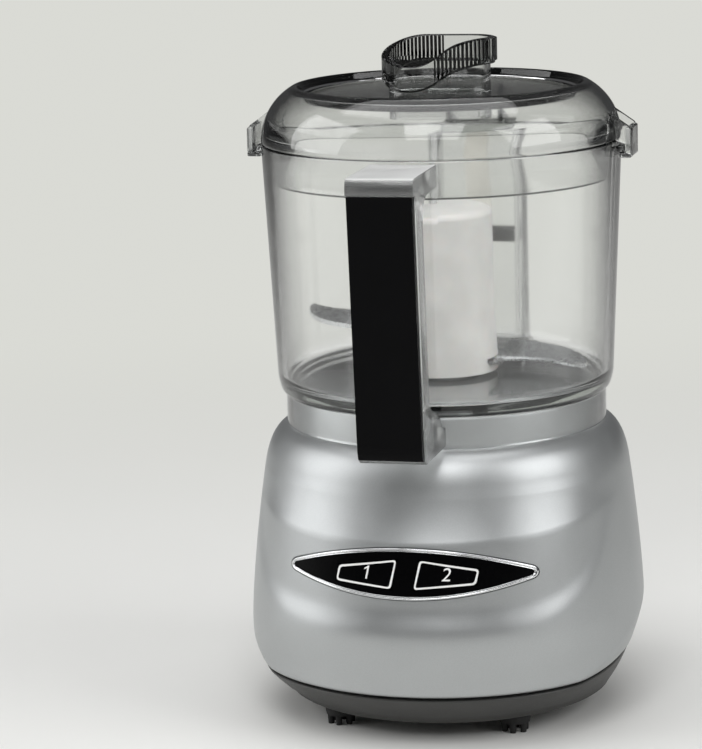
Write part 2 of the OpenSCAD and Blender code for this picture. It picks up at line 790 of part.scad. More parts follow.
module planet_carrier() {
    color(steel) translate([0, 0, carrier_z]) difference() {
        cylinder(r = carrier_r, h = carrier_t);
        translate([0, 0, -1]) cylinder(r = shaft_r + 0.01, h = carrier_t + 2);
        for (i = [0:planet_count - 1]) rotate([0, 0, i * 360 / planet_count])
            translate([planet_c, 0, -1]) cylinder(r = pin_r + 0.01, h = carrier_t + 2);
    }
}

// Gearbox case: a cup with the ring gear's teeth inside and four ears for its screws
module gearbox_case() {
    color(nylon) difference() {
        translate([0, 0, case_low_z]) union() {
            cylinder(r = case_r, h = case_top_z - case_low_z);
            for (i = [0:ear_count - 1]) rotate([0, 0, 45 + i * 90]) {
                translate([ear_c, 0, 0]) cylinder(r = ear_r, h = deck_in_z - boss_h - case_low_z);
                translate([case_r - 1, -1.5, 0]) cube([5, 3, deck_in_z - boss_h - case_low_z]);
            }
        }
        translate([0, 0, case_low_z - 1]) linear_extrude(carrier_z - case_low_z + 1)
            rotate([0, 0, 180 / ring_t])
                polygon(gear_outline(ring_t, gear_m * ring_t / 2 + dedendum,
                    gear_m * ring_t / 2 - addendum, -backlash / 2));
        translate([0, 0, carrier_z - 0.3]) cylinder(r = carrier_r + 0.6, h = carrier_t + 0.9);
        translate([0, 0, carrier_z]) cylinder(r = shaft_r + 3, h = 20);
        for (i = [0:ear_count - 1]) rotate([0, 0, 45 + i * 90])
            translate([ear_c, 0, case_low_z - 1]) cylinder(r = screw_r + 0.3, h = 40);
    }
}

module motor_plate() {
    color(steel) translate([0, 0, motor_top_z]) difference() {
        linear_extrude(motor_plate_t) {
            circle(r = case_r);
            for (i = [0:ear_count - 1]) rotate(45 + i * 90) {
                translate([ear_c, 0]) circle(r = ear_r);
                translate([case_r - 1, -3]) square([5, 6]);
            }
        }
        translate([0, 0, -1]) cylinder(r = bearing_r + 0.01, h = 3 + 0.01);
        translate([0, 0, -1]) cylinder(r = gear_m * sun_t / 2 + 1.5, h = 8);
        for (i = [0:ear_count - 1]) rotate([0, 0, 45 + i * 90])
            translate([ear_c, 0, -1]) cylinder(r = screw_r + 0.3, h = 8);
        for (s = [-1, 1]) translate([s * motor_screw_c, 0, 0])
            rotate_extrude() polygon([[0, -1], [1.6, -1], [1.6, 1], [3.1, motor_plate_t], [3.1, 5], [0, 5]]);
    }
}

// Countersunk screws that hold the motor under its plate
module motor_screws() {
    color(steel) for (s = [-1, 1]) translate([s * motor_screw_c, 0, motor_top_z - 4.5]) {
        cylinder(r = 1.28, h = 5.6);
        translate([0, 0, 5.5 + eps]) cylinder(r1 = 1.5, r2 = 2.8, h = 1.4);
    }
}

module gearbox_screws() {
    screw_h = deck_in_z - 0.5 - motor_top_z;
    color(steel) for (i = [0:ear_count - 1])
        rotate([0, 0, 45 + i * 90]) translate([ear_c, 0, motor_top_z]) {
            translate([0, 0, -2]) cylinder(r = screw_r + 1.4, h = 1.95);
            translate([0, 0, -1]) cylinder(r = screw_r - 0.02, h = screw_h);
        }
}

// Drive shaft with the six-sided dog that turns the hub
module drive_shaft() {
    color(steel) {
        translate([0, 0, carrier_z + eps]) cylinder(r = shaft_r, h = tube_top_z + 2 - carrier_z);
        translate([0, 0, tube_top_z + 1.6]) cylinder(r = dog_r, h = dog_h, $fn = 6);
    }
}

module drive_bushing() {
    color(brass) translate([0, 0, deck_in_z - 0.4])
        bush(bush_r - 0.01, shaft_r + run_gap, plateau_z + spigot_h - seal_h - deck_in_z + 0.4);
}

module shaft_seal() {
    color(black) translate([0, 0, plateau_z + spigot_h - seal_h])
        bush(bush_r - 0.01, shaft_r + 0.1, seal_h - 0.1);
}

// Rubber gland at the rear where the mains lead goes in, on a flat pad of the housing
gland_bore = 3.4;
gland_skin = [for (d = [-1:0.25:1]) let (z = gland_z + d * gland_pad) skin_y(z) + skin_r(180, z)];
gland_y = max(gland_skin) + 0.2;
gland_seat = gland_y - min(gland_skin) + wall + 0.4;
gland_in = gland_seat + part_gap + 2;

module gland_frame() {
    translate([0, gland_y, gland_z]) rotate([-90, 0, 0]) children();
}

module cord_gland() {
    color(black) gland_frame() difference() {
        union() {
            translate([0, 0, part_gap]) cylinder(r1 = gland_r + 2, r2 = gland_r + 1, h = 3);
            translate([0, 0, -gland_in]) cylinder(r = gland_r - fit_gap, h = gland_in + 1);
            translate([0, 0, -gland_in]) cylinder(r = gland_r + 1.2, h = 2);
        }
        translate([0, 0, -gland_in - 1]) cylinder(r = gland_bore, h = gland_in + 5);
    }
}

// Bowl

function bowl_out_r(z) = bowl_foot_r + (rim_r - bowl_foot_r) * (z - bowl_z) / (rim_z - bowl_z);

// Everything inside the bowl's walls, used to keep the hollow clear of what is joined outside
module bowl_hollow() {
    rotate_extrude() polygon(concat(
        [[0, floor_z], [bowl_out_r(floor_z) - bowl_wall - 4, floor_z]],
        arc([bowl_out_r(floor_z + 4) - bowl_wall - 4, floor_z + 4], 4, -90, 0, 5),
        [[rim_r - bowl_wall, rim_z], [rim_r - bowl_wall, rim_z + 5], [0, rim_z + 5]]));
    translate([0, 0, skirt_z - 1]) cylinder(r = skirt_in_r, h = bowl_z - skirt_z + 1);
}

module bowl_wall_solid() {
    rotate_extrude() polygon(concat(
        [[0, skirt_z], [skirt_r, skirt_z], [skirt_r, bowl_z - 2]],
        arc([bowl_out_r(bowl_z + 4) - 4, bowl_z + 3.2], 4, -55, 4, 5),
        [[rim_r, rim_z], [0, rim_z]]));
}

module centre_tube() {
    translate([0, 0, bowl_z]) cylinder(r = tube_out_r, h = tube_top_z - bowl_z);
}

module work_bowl() {
    color(clear) difference() {
        union() {
            difference() {
                union() {
                    bowl_wall_solid();
                    rear_column();
                    handle_frame();
                    for (s = [-1, 1]) lock_ramp(s);
                }
                bowl_hollow();
            }
            centre_tube();
        }
        translate([0, 0, bowl_z - 1]) cylinder(r = tube_in_r, h = tube_top_z - bowl_z + 2);
        translate([0, rod_y, column_low_z - 1]) cylinder(r = rod_r + run_gap, h = 20);
    }
}

// Rear column: an open channel for the interlock rod, with a shelf for its spring
module rear_column() {
    out_y = column_y + column_in + column_t;
    difference() {
        translate([-column_w / 2, skirt_in_r - 2, column_low_z])
            cube([column_w, out_y - skirt_in_r + 2, column_top_z - column_low_z]);
        translate([-column_w / 2 + column_t, column_y, shelf_z + shelf_t])
            cube([column_w - 2 * column_t, column_in, column_top_z - shelf_z]);
        translate([-column_w / 2 + column_t, column_y, column_low_z - 1])
            cube([column_w - 2 * column_t, column_in, shelf_z - column_low_z + 1]);
    }
}

// Short rib under the rim that a lid lug locks under
module lock_ramp(side) {
    rotate([0, 0, side > 0 ? 0 : 180]) rotate([0, 0, -lug_w / rim_r * 22])
        rotate_extrude(angle = lug_w / rim_r * 44)
            translate([rim_r - 2, rim_z - 3.6]) square([ramp_r - rim_r + 2, 1.8]);
}

// Clear handle: top arm, raked spine and rounded lower arm, in profile
function grip_face_y(z) = -handle_reach + handle_rake * (grip_top_z - z) / (grip_top_z - grip_low_z);

module handle_frame() {
    face_top = grip_face_y(grip_top_z);
    face_low = grip_face_y(grip_low_z);
    back_top = face_top + grip_t + handle_depth;
    back_low = face_low + grip_t + handle_depth;
    arm_low_z = bowl_z + 3;
    rotate([90, 0, 90]) translate([0, 0, -handle_w / 2]) linear_extrude(handle_w) difference() {
        polygon(concat(
            [[-skirt_in_r, handle_top_z], [face_top, handle_top_z], [face_top, grip_top_z + 0.2]],
            [[face_top + grip_t + 0.1, grip_top_z + 0.2], [face_low + grip_t + 0.1, grip_low_z]],
            arc([face_low + grip_t + 6, handle_low_z + 6], 6, 200, 270, 4),
            [[-skirt_in_r, handle_low_z + 4]]));
        polygon(concat(
            arc([back_top + 8, grip_top_z - 10], 8, 180, 90, 5),
            [[-bowl_out_r(grip_top_z - 2) + 0.5, grip_top_z - 2], [-bowl_out_r(arm_low_z) + 0.5, arm_low_z]],
            arc([back_low + 5, arm_low_z + 5], 5, 270, 180, 5)));
    }
}

// Black grip plate on the handle's face, with a rib that locks into the frame's edge
module handle_grip() {
    top_y = grip_face_y(grip_top_z);
    low_y = grip_face_y(grip_low_z);
    color(black) rotate([90, 0, 90]) translate([0, 0, -handle_w / 2 + 0.4])
        linear_extrude(handle_w - 0.8) polygon([
            [top_y, grip_top_z], [low_y, grip_low_z + 3], [low_y + 1.4, grip_low_z],
            [low_y + grip_t, grip_low_z], [top_y + grip_t, grip_top_z]]);
}

// Interlock

module interlock_rod() {
    color(nylon) translate([0, rod_y, 0]) {
        translate([0, 0, rod_low_z]) cylinder(r = rod_r, h = rod_flat_z + 2 - rod_low_z);
        translate([0, 0, collar_ring_z]) cylinder(r = 3.9, h = 2.4);
        translate([-4, -2, rod_flat_z]) cube([8, 4, rod_tip_z - 2.4 - rod_flat_z]);
        translate([-column_w / 2 + column_t + slide_gap, -3, rod_flat_z + 10])
            cube([column_w - 2 * column_t - 2 * slide_gap, 6, 6]);
        translate([0, 3, rod_tip_z - 2.5]) rotate([90, 0, 0]) cylinder(r = 2.5, h = 6);
    }
}

spring_low_z = shelf_z + shelf_t + 0.15;
spring_high_z = collar_ring_z - 0.15;
rings_per_turn = 8;
wire_sides = 6;
function spring_centre(i) =
    let (n = spring_turns * rings_per_turn, lift = wire_d / 2)
    [spring_r * cos(i * 360 / rings_per_turn), spring_r * sin(i * 360 / rings_per_turn),
     spring_low_z + lift + (spring_high_z - spring_low_z - wire_d) * i / n];
function spring_ring(i) =
    let (a = i * 360 / rings_per_turn, c = spring_centre(i))
    [for (k = [0:wire_sides - 1]) let (b = 360 * k / wire_sides)
        c + wire_d / 2 * (cos(b) * [cos(a), sin(a), 0] + sin(b) * [0, 0, 1])];
spring_pitch = (spring_high_z - spring_low_z - wire_d) / spring_turns;
spring_gap = min([for (i = [0:rings_per_turn], j = [rings_per_turn:2 * rings_per_turn])
    if (abs(j - i) >= rings_per_turn - 2)
        norm(spring_centre(j) - spring_centre(i)) - wire_d]);
echo(spring_least_gap_mm = spring_gap, spring_pitch_mm = spring_pitch);

module interlock_spring() {
    color(steel) translate([0, rod_y, 0])
        skin([for (i = [spring_turns * rings_per_turn:-1:0]) spring_ring(i)], false);
}

// Cutter

// Hub: a sleeve over the bowl's tube, closed at the top round a six-sided socket
module blade_hub() {
    color(nylon) difference() {
        rotate_extrude() polygon(concat(
            [[0, hub_low_z], [hub_r + 1.2, hub_low_z], [hub_r + 1.2, hub_low_z + 3], [hub_r, hub_low_z + 22]],
            arc([hub_r - 3, hub_top_z - 3], 3, 0, 90, 5),
            [[0, hub_top_z]]));
        translate([0, 0, hub_low_z - 1]) cylinder(r = hub_bore_r, h = tube_top_z + 0.8 - hub_low_z + 1);
        translate([0, 0, tube_top_z]) cylinder(r = dog_r + 0.15, h = dog_h + 2.2, $fn = 6);
        for (k = [[lower_blade_z, 0], [upper_blade_z, 180]]) blade_seat(k[0], k[1]);
    }
}

// Slot in the hub's wall that holds the root of a blade
module blade_seat(z, turn) {
    rotate([0, 0, turn]) translate([hub_r + 1.5 - root_depth - 0.05, -8.05, z - 0.02])
        cube([root_depth + 2, 16.1, blade_t + 0.04]);
}

root_depth = 3.4;
sickle_r = 34;

// Curved blade: a sickle between two arcs, its outer edge ground to a bevel
module sickle(z, turn) {
    root_x = hub_r + 1.5 - root_depth;
    color(steel) rotate([0, 0, turn]) translate([0, 0, z]) difference() {
        linear_extrude(blade_t) intersection() {
            circle(r = blade_reach);
            union() {
                translate([root_x, -8]) square([6, 16]);
                intersection() {
                    translate([blade_reach - sickle_r, 10 - sickle_r + 14]) circle(r = sickle_r);
                    translate([root_x + 3, -16]) square([60, 40]);
                    difference() {
                        translate([root_x, -8]) square([60, 60]);
                        translate([blade_reach - 22, -32]) circle(r = 30);
                    }
                }
            }
        }
        translate([blade_reach - 22, -32, blade_t - 0.9])
            cylinder(r1 = 30 - 0.2, r2 = 30 + 2.6, h = 1.2);
    }
}

module lower_blade() { sickle(lower_blade_z, 0); }
module upper_blade() { sickle(upper_blade_z, 180); }

// Lid

lid_plug_r = rim_r - bowl_wall - (rim_r - bowl_foot_r) * lid_plug_h / bowl_h - 0.5;

// Outline of the lid's side: an arc that starts upright at the rim
lid_round = (lid_h * lid_h + lid_in * lid_in) / (2 * lid_in);
function lid_side(wall, a0, a1, n) = arc([rim_r - lid_round, lid_z], lid_round - wall, a0, a1, n);

module lid_shell() {
    crown_r = rim_r - lid_in;
    under_z = plate_z - lid_wall;
    under_a = asin((under_z - lid_z) / (lid_round - lid_wall));
    rotate_extrude() polygon(concat(
        [[lid_plug_r - lid_wall, rim_z - lid_plug_h], [lid_plug_r, rim_z - lid_plug_h], [lid_plug_r, lid_z]],
        lid_side(0, 0, asin(lid_h / lid_round), 12),
        [[crown_r - 1.2, lid_top_z], [crown_r - 2.2, plate_z], [0, plate_z], [0, under_z]],
        lid_side(lid_wall, under_a, 8, 8),
        [[lid_plug_r - lid_wall, lid_z + 1]]));
}

// Side lug: a hanging wall with a lip, on two gussets with a window between them
module side_lug() {
    gusset_t = 1.8;
    half = asin(lug_w / 2 / lug_r);
    rotate([0, 0, -half]) rotate_extrude(angle = 2 * half) polygon([
        [rim_r + 0.7, lug_low_z], [lug_r, lug_low_z], [lug_r, lug_low_z + 10],
        [lug_r - lug_wall, lug_low_z + 10], [lug_r - lug_wall, lug_low_z + lug_lip],
        [rim_r + 0.7, lug_low_z + lug_lip]]);
    for (s = [-1, 1]) rotate([90, 0, s * (half - 1.2)]) translate([0, 0, -gusset_t / 2])
        linear_extrude(gusset_t) polygon([
            [rim_r - 1.2, lid_z + 0.5], [rim_r - 3.4, lid_z + 10], [lug_r - 0.6, lug_low_z + 10.4],
            [lug_r - 0.6, lug_low_z + 4], [lug_r - lug_wall - 0.3, lid_z + 0.3]]);
}

// Rear lug: a bar whose sloping underside is the cam that lets the interlock rod rise
module rear_lug() {
    bar_t = 4;
    half = rear_lug_w / 2;
    out_y = column_y + column_in + 1;
    translate([0, out_y, 0]) rotate([90, 0, 0]) linear_extrude(out_y - rim_r - 1)
        polygon([[-half, cam_z], [0, cam_z], [half, cam_z + half * cam_slope],
                 [half, cam_z + bar_t + 1], [-half, cam_z + bar_t + 1]]);
    for (s = [-1, 1]) translate([s * (half - 4) - 1, 0, 0]) rotate([90, 0, 90])
        linear_extrude(2) polygon([
            [rim_r - 1.6, lid_z + 0.4], [rim_r - 3.2, lid_z + 9], [out_y - 0.5, cam_z + bar_t + 2],
            [out_y - 0.5, cam_z + bar_t - 1], [rim_r + 2, cam_z + bar_t - 1], [rim_r + 2, lid_z + 0.4]]);
}

module stadium(l, w) {
    square([l - w, w], center = true);
    for (s = [-1, 1]) translate([s * (l - w) / 2, 0]) circle(r = w / 2);
}

neck_in = ring_wall - 0.4;
neck_low_z = plate_z - 8;
module ring_stadium(inset) { stadium(ring_l - 2 * inset, ring_w - 2 * inset); }

module lid() {
    color(clear) difference() {
        union() {
            lid_shell();
            for (a = [0, 180]) rotate([0, 0, a]) side_lug();
            rear_lug();
        }
        translate([0, 0, plate_z - 20]) linear_extrude(30) ring_stadium(neck_in - fit_gap);
    }
}

// Finger ring: a band that climbs from its low front corner, ribbed for grip, on a plain neck
ring_steps = 144;
rib_d = 0.45;
ring_low_at = 232;
ring_spread = 110;
function stadium_r(a, inset) =
    let (c = (ring_l - ring_w) / 2, h = ring_w / 2 - inset)
    let (flat = h / max(0.001, abs(sin(a))))
    flat * abs(cos(a)) <= c ? flat : c * abs(cos(a)) + sqrt(h * h - pow(c * sin(a), 2));
function ring_drop(a) = pow(cos(min(90, 90 * abs((a - ring_low_at + 540) % 360 - 180) / ring_spread)), 2);
function ring_z(a) = plate_z + 0.2 + ring_rise * (1 - ring_drop(a));
function rib_at(i, a) = (a > 280 || (a > 95 && a < 200)) && i % 4 < 2 ? rib_d : 0;
function ring_column(i) =
    let (a = 360 * i / ring_steps, z = ring_z(a), d = [cos(a), sin(a)])
    let (o = d * (stadium_r(a, 0) + rib_at(i, a)), n = d * stadium_r(a, ring_wall))
    [[o[0], o[1], z], [o[0], o[1], z + ring_band], [n[0], n[1], z + ring_band], [n[0], n[1], z]];

module lid_grip() {
    color(clear) {
        skin([for (i = [ring_steps - 1:-1:0]) ring_column(i)], true);
        translate([0, 0, neck_low_z]) linear_extrude(plate_z + ring_rise + 2 - neck_low_z) difference() {
            ring_stadium(neck_in);
            ring_stadium(neck_in + 1.8);
        }
    }
}

motor_housing();
base_cover();
rubber_foot(foot_places[0]);  // foot_front_left
rubber_foot(foot_places[1]);  // foot_front_right
rubber_foot(foot_places[2]);  // foot_rear_left
rubber_foot(foot_places[3]);  // foot_rear_right
cover_screws();
panel_bezel();
control_panel();
push_button(-1);  // chop_button
push_button(1);  // grind_button
switch_board();
tact_switch(-1);  // chop_switch
tact_switch(1);  // grind_switch
interlock_switch();
interlock_plunger();
motor_can();
motor_magnets();
brush_end_bell();
carbon_brushes();
lower_bearing();
upper_bearing();
armature_shaft();
armature_core();
commutator();
cooling_fan();
sun_gear();
motor_plate();
motor_screws();
gearbox_case();
gearbox_screws();
planet_gear(0);  // planet_gear_1
planet_gear(1);  // planet_gear_2
planet_gear(2);  // planet_gear_3
planet_pins();
planet_carrier();
drive_shaft();
drive_bushing();
shaft_seal();
cord_gland();
work_bowl();
handle_grip();
interlock_rod();
interlock_spring();
blade_hub();
lower_blade();
upper_blade();
lid();
lid_grip();
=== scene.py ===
"""Looks of the mini food chopper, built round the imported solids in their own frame."""

import json
import math

import bmesh
import bpy
from bpy.props import FloatProperty, FloatVectorProperty, PointerProperty
from mathutils import Matrix, Vector

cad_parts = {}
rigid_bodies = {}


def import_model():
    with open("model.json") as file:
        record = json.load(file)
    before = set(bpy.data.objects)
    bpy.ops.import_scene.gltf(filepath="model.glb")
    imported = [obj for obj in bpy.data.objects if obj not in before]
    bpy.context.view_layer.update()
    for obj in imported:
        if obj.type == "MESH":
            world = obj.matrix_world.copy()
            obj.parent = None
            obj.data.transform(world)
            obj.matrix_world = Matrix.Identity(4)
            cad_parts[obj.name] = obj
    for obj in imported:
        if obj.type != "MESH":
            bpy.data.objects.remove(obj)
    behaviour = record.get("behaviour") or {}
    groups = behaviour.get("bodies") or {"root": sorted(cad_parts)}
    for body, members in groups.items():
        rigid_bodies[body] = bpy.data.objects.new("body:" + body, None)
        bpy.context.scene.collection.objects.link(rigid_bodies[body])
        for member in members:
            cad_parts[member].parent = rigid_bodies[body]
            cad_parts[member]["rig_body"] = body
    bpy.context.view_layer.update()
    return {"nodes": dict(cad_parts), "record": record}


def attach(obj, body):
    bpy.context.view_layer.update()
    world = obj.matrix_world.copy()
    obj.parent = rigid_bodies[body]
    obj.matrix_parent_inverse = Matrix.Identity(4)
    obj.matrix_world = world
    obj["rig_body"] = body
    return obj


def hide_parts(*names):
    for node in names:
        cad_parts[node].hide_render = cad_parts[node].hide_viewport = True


bl_info = {
    "name": "Mini Food Chopper",
    "version": (1, 0, 0),
    "blender": (4, 5, 0),
    "location": "View3D > Sidebar > Chopper",
    "description": "Dresses the packed solids of a mini food chopper with detailed pieces and finishes",
    "category": "Object",
}

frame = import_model()
NODES = frame["nodes"]

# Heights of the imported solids, in millimetres like every size below that names no other unit
MM = 0.001
FOOT_H, SPLIT, DECK, PLATEAU = 6.2, 18.7, 98.2, 109.2
BOWL_Z, FLOOR_Z, RIM_Z = 110.0, 113.0, 194.5
LID_Z, LID_TOP, PLATE_Z, FLANGE_Z = 194.8, 213.5, 210.6, 181.6

# Housing side, its slanted lower edge and the crease above that
BELLY_R, WAIST_R, DECK_R = 67.8, 62.6, 53.5
BELLY_Z, SHOULDER_Z, BROW_Z, LIP_Z = SPLIT + 12, DECK - 14, DECK - 28.6, DECK - 54.2
LEAN, SIDE_CURVE, SIDE_TUCK = 4.0, 1.5, 0.9
EDGE_START, EDGE_H, SPLIT_SLOPE = 45.0, 0.8, 0.13
CREASE_SLOPE, CREASE_MAX, CREASE_IN = 0.385, 32.0, 0.3

# Brow, hollow and lip round the panel; the last row is bearings in degrees
RIDGE_RISE, RIDGE_OUT, HOLLOW_H = 4.5, 2.6, 20.0
LIP_CURVE, LIP_OUT, LIP_ABOVE, LIP_BELOW, LIP_FALL = 4.5, 1.4, 5.0, 4.0, 0.75
RIDGE_SPAN, BROW_END, BROW_FULL, BROW_GONE = 60.0, 68.0, 36.0, 78.0

# Cord gland, tower for the interlock (full and gone are bearings from the back), shoulder and collar
GLAND_Y, GLAND_Z, GLAND_PAD_Y, GLAND_PAD_R, GLAND_BORE_R = 64.355, 46.244, 57.65, 8.4, 5.4
TOWER_R, TOWER_FOOT, TOWER_TOP, TOWER_FULL, TOWER_GONE = 75.0, GLAND_Z + 9.2, DECK - 30, 13.0, 20.0
SHOULDER_PULL, DECK_PULL, ROOF_OUT = 7.7, 5.0, 3.0
COLLAR_R, COLLAR_WALL, SPIGOT_R, SPIGOT_BORE_R, SPIGOT_H = 52.0, 3.0, 8.2, 6.4, 9.0

# Base cover, its screw posts and vents
COVER_R, COVER_Z, COVER_IN, COVER_GAP, COVER_BULGE = 55.8, 7.9, 1.0, 1.6, 2.4
POST_REACH, POST_BEARING, POST_R, HEAD_BORE_R, SCREW_BORE_R = 48.1, 38.0, 4.0, 3.5, 1.8
VENT_PITCH, VENT_W, VENT_L, VENT_CUT = 5.0, 2.4, 26.0, 12.0

# Panel, buttons and printed marks
LENS_HALF, PANEL_UP, PANEL_DOWN, TIP_R, TIP_RISE = 42.0, 6.1, 8.2, 0.8, 2.4
PANEL_R, PANEL_Y, PANEL_Z, PANEL_TILT = 68.398, -70.372, 59.0, 8.866
BUTTON_NEAR, BUTTON_FAR, MARK_IN, MARK_OUT = 3.7, 23.6, 0.1, 0.4
NUMERAL_X, NUMERAL_Z, FONT_SCALE, FONT_SLANT = 13.3, 1.3, 1.37, 0.2

# Bowl, handle, grip, rear column, interlock rod and hub
RIM_R, SKIRT_R, SKIRT_IN, SKIRT_Z = 61.0, 54.8, 52.4, 98.5
TUBE_R, TUBE_BORE_R, TUBE_TOP = 11.4, 9.4, 160.0
HANDLE_TOP, HANDLE_FRONT, HANDLE_START, HANDLE_HALF = RIM_Z - 1, -94.6, -61.3, 11.0
GRIP_TOP, GRIP_LOW, GRIP_FACE, GRIP_HALF = RIM_Z - 6.8, DECK + 3.4, -87.5, 10.6
COLUMN_HALF, COLUMN_Y, COLUMN_LOW, COLUMN_TOP = 17.5, 72.9, 99.4, 188.5
CHANNEL_HALF, CHANNEL_IN, CHANNEL_OUT = 15.5, 62.5, 70.9
ROD_Y, ROD_BORE_R, GUIDE_LOW, GUIDE_TOP, GUIDE_R = 66.7, 2.6, 103.2, 105.7, 2.24
BAR_Z, BAR_H, BAR_DROP, BAR_HALF, BAR_THIN = 149.2, 6.0, 5.0, 15.0, 0.66
HUB_NECK, HUB_CROWN = 161.0, 0.71

# Lid and finger ring; low and climb are bearings, a rib's pitch and width are steps round the ring
LID_ROUND, LID_WALL, FLANGE_IN, FLANGE_OUT = 21.037, 2.4, 55.15, 57.55
# The first two radii bound the lid's top rim band, which gets painted shade
SHADED_RIM_IN, SHADED_RIM_OUT, PLATE_IN, PLATE_R, LUG_START = 46.8, 49.2, 14.0, 14.6, 61.5
RING_L, RING_W, RING_BAND, RING_RISE, RING_WALL = 38.0, 21.0, 8.8, 9.2, 2.0
RING_STEPS, RING_LOW, RING_CLIMB = 576, 232.0, 110.0
RIB_DEPTH, RIB_REACH, RIB_LEAD, RIB_PITCH, RIB_WIDTH = 0.7, 0.66, 8.0, 8, 5

# Stage and camera, in metres and degrees; a lamp has a name, a place, a size and a power
BACKDROP = (0.70, 0.705, 0.665)
GROUND_R, FADE_START, FADE_END = 6.0, 0.12, 0.75
LAMPS = (
    ("left", (-1.35, -0.35, 0.7), 1.2, 11), ("right", (1.3, -0.35, 0.85), 1.0, 10),
    ("front", (0.15, -1.4, 1.55), 1.1, 14), ("top", (-0.1, 0.1, 1.9), 1.8, 18),
)
LAMP_AIM = (0, 0, 0.11)
WORLD_COLOUR, WORLD_STRENGTH = (0.88, 0.89, 0.9), 0.08
VIEW_TURN, VIEW_PITCH, VIEW_ROLL = 13.8, 11.12, -1.54
VIEW_SIDE, VIEW_BACK, VIEW_UP = -0.0326, 1.1, 0.33
SENSOR_MM, FOCAL_PX, PHOTO_H_PX = 36, 3265, 749


class ChopperSizes(bpy.types.PropertyGroup):
    """Sizes that give the pieces their look"""

    wall: FloatProperty(
        name="Housing wall", description="Thickness of the moulded housing", default=0.0026, unit="LENGTH",
    )
    bowl_wall: FloatProperty(
        name="Bowl wall", description="Thickness of the clear bowl", default=0.0024, unit="LENGTH",
    )
    edge: FloatProperty(
        name="Edge round", description="Radius of the rear column's edges", default=0.0012, unit="LENGTH",
    )
    print_h: FloatProperty(
        name="Numeral height", description="Height of the buttons' numerals", default=0.0046, unit="LENGTH",
    )
    line_w: FloatProperty(
        name="Line width", description="Width of the printed outlines", default=0.00065, unit="LENGTH",
    )


class ChopperColours(bpy.types.PropertyGroup):
    """Colours of the finishes"""

    silver: FloatVectorProperty(
        name="Silver lacquer", description="The housing", default=(0.452, 0.466, 0.47), subtype="COLOR",
    )
    cover: FloatVectorProperty(
        name="Cover grey", description="The base cover", default=(0.042, 0.042, 0.04), subtype="COLOR",
    )
    black: FloatVectorProperty(
        name="Black", description="Grip and panel", default=(0.0022, 0.0022, 0.0026), subtype="COLOR",
    )
    clear: FloatVectorProperty(
        name="Clear tint", description="Bowl, lid and ring", default=(0.98, 0.984, 0.98), subtype="COLOR",
    )
    hub: FloatVectorProperty(
        name="Hub white", description="The blade hub", default=(0.50, 0.495, 0.478), subtype="COLOR",
    )
    steel: FloatVectorProperty(
        name="Steel", description="Blades, shaft and screws", default=(0.60, 0.61, 0.62), subtype="COLOR",
    )
    trim: FloatVectorProperty(
        name="Bright trim", description="Rim of the panel", default=(0.78, 0.79, 0.80), subtype="COLOR",
    )
    marks: FloatVectorProperty(
        name="Print white", description="Marks on the buttons", default=(0.86, 0.86, 0.85), subtype="COLOR",
    )
    floor: FloatVectorProperty(
        name="Floor", description="Ground under the chopper", default=(0.80, 0.80, 0.78), subtype="COLOR",
    )


# Finishes; the tint is of the light that a thick clear wall lets through
DEPTH_TINT = (0.76, 0.775, 0.765)


def fill_sockets(node, values):
    """Puts constants straight onto a node's own sockets."""
    for socket, value in values.items():
        node.inputs[socket.replace("_", " ")].default_value = value
    return node


def add_node(tree, kind, **values):
    """A new shader node with constants on its sockets."""
    return fill_sockets(tree.nodes.new("ShaderNode" + kind), values)


def finish_nodes(name, colour, **values):
    """A new material, its node tree and its shader."""
    mat = bpy.data.materials.new(name)
    mat.use_nodes = True
    tree = mat.node_tree
    shader = fill_sockets(tree.nodes["Principled BSDF"], values)
    shader.inputs["Base Color"].default_value = (*colour, 1.0)
    return mat, tree, shader


def object_noise(tree, scale, detail=3.0, stretch=(1, 1, 1)):
    """Noise on the piece's own object coordinates; scale is in waves per metre."""
    coords = add_node(tree, "TexCoord")
    mapping = add_node(tree, "Mapping", Scale=stretch)
    noise = add_node(tree, "TexNoise", Scale=scale, Detail=detail)
    tree.links.new(coords.outputs["Object"], mapping.inputs["Vector"])
    tree.links.new(mapping.outputs["Vector"], noise.inputs["Vector"])
    return noise


def vary_roughness(tree, shader, noise, low, high):
    spread = add_node(tree, "MapRange", From_Min=0.3, From_Max=0.7, To_Min=low, To_Max=high)
    tree.links.new(noise.outputs["Fac"], spread.inputs["Value"])
    tree.links.new(spread.outputs["Result"], shader.inputs["Roughness"])


def ramp_colour(tree, shader, factor, *stops):
    """Colours the shader by a ramp between two stops, each a position and a colour."""
    ramp = add_node(tree, "ValToRGB")
    for element, (position, colour) in zip(ramp.color_ramp.elements, stops):
        element.position = position
        element.color = (*colour, 1.0)
    tree.links.new(factor, ramp.inputs["Fac"])
    tree.links.new(ramp.outputs["Color"], shader.inputs["Base Color"])


def vary_colour(tree, shader, noise, dark, light):
    ramp_colour(tree, shader, noise.outputs["Fac"], (0.3, dark), (0.7, light))


def vary_bump(tree, shader, noise, strength, depth):
    bump = add_node(tree, "Bump", Strength=strength, Distance=depth)
    tree.links.new(noise.outputs["Fac"], bump.inputs["Height"])
    tree.links.new(bump.outputs["Normal"], shader.inputs["Normal"])


def scaled(colour, k):
    return tuple(min(1.0, c * k) for c in colour)


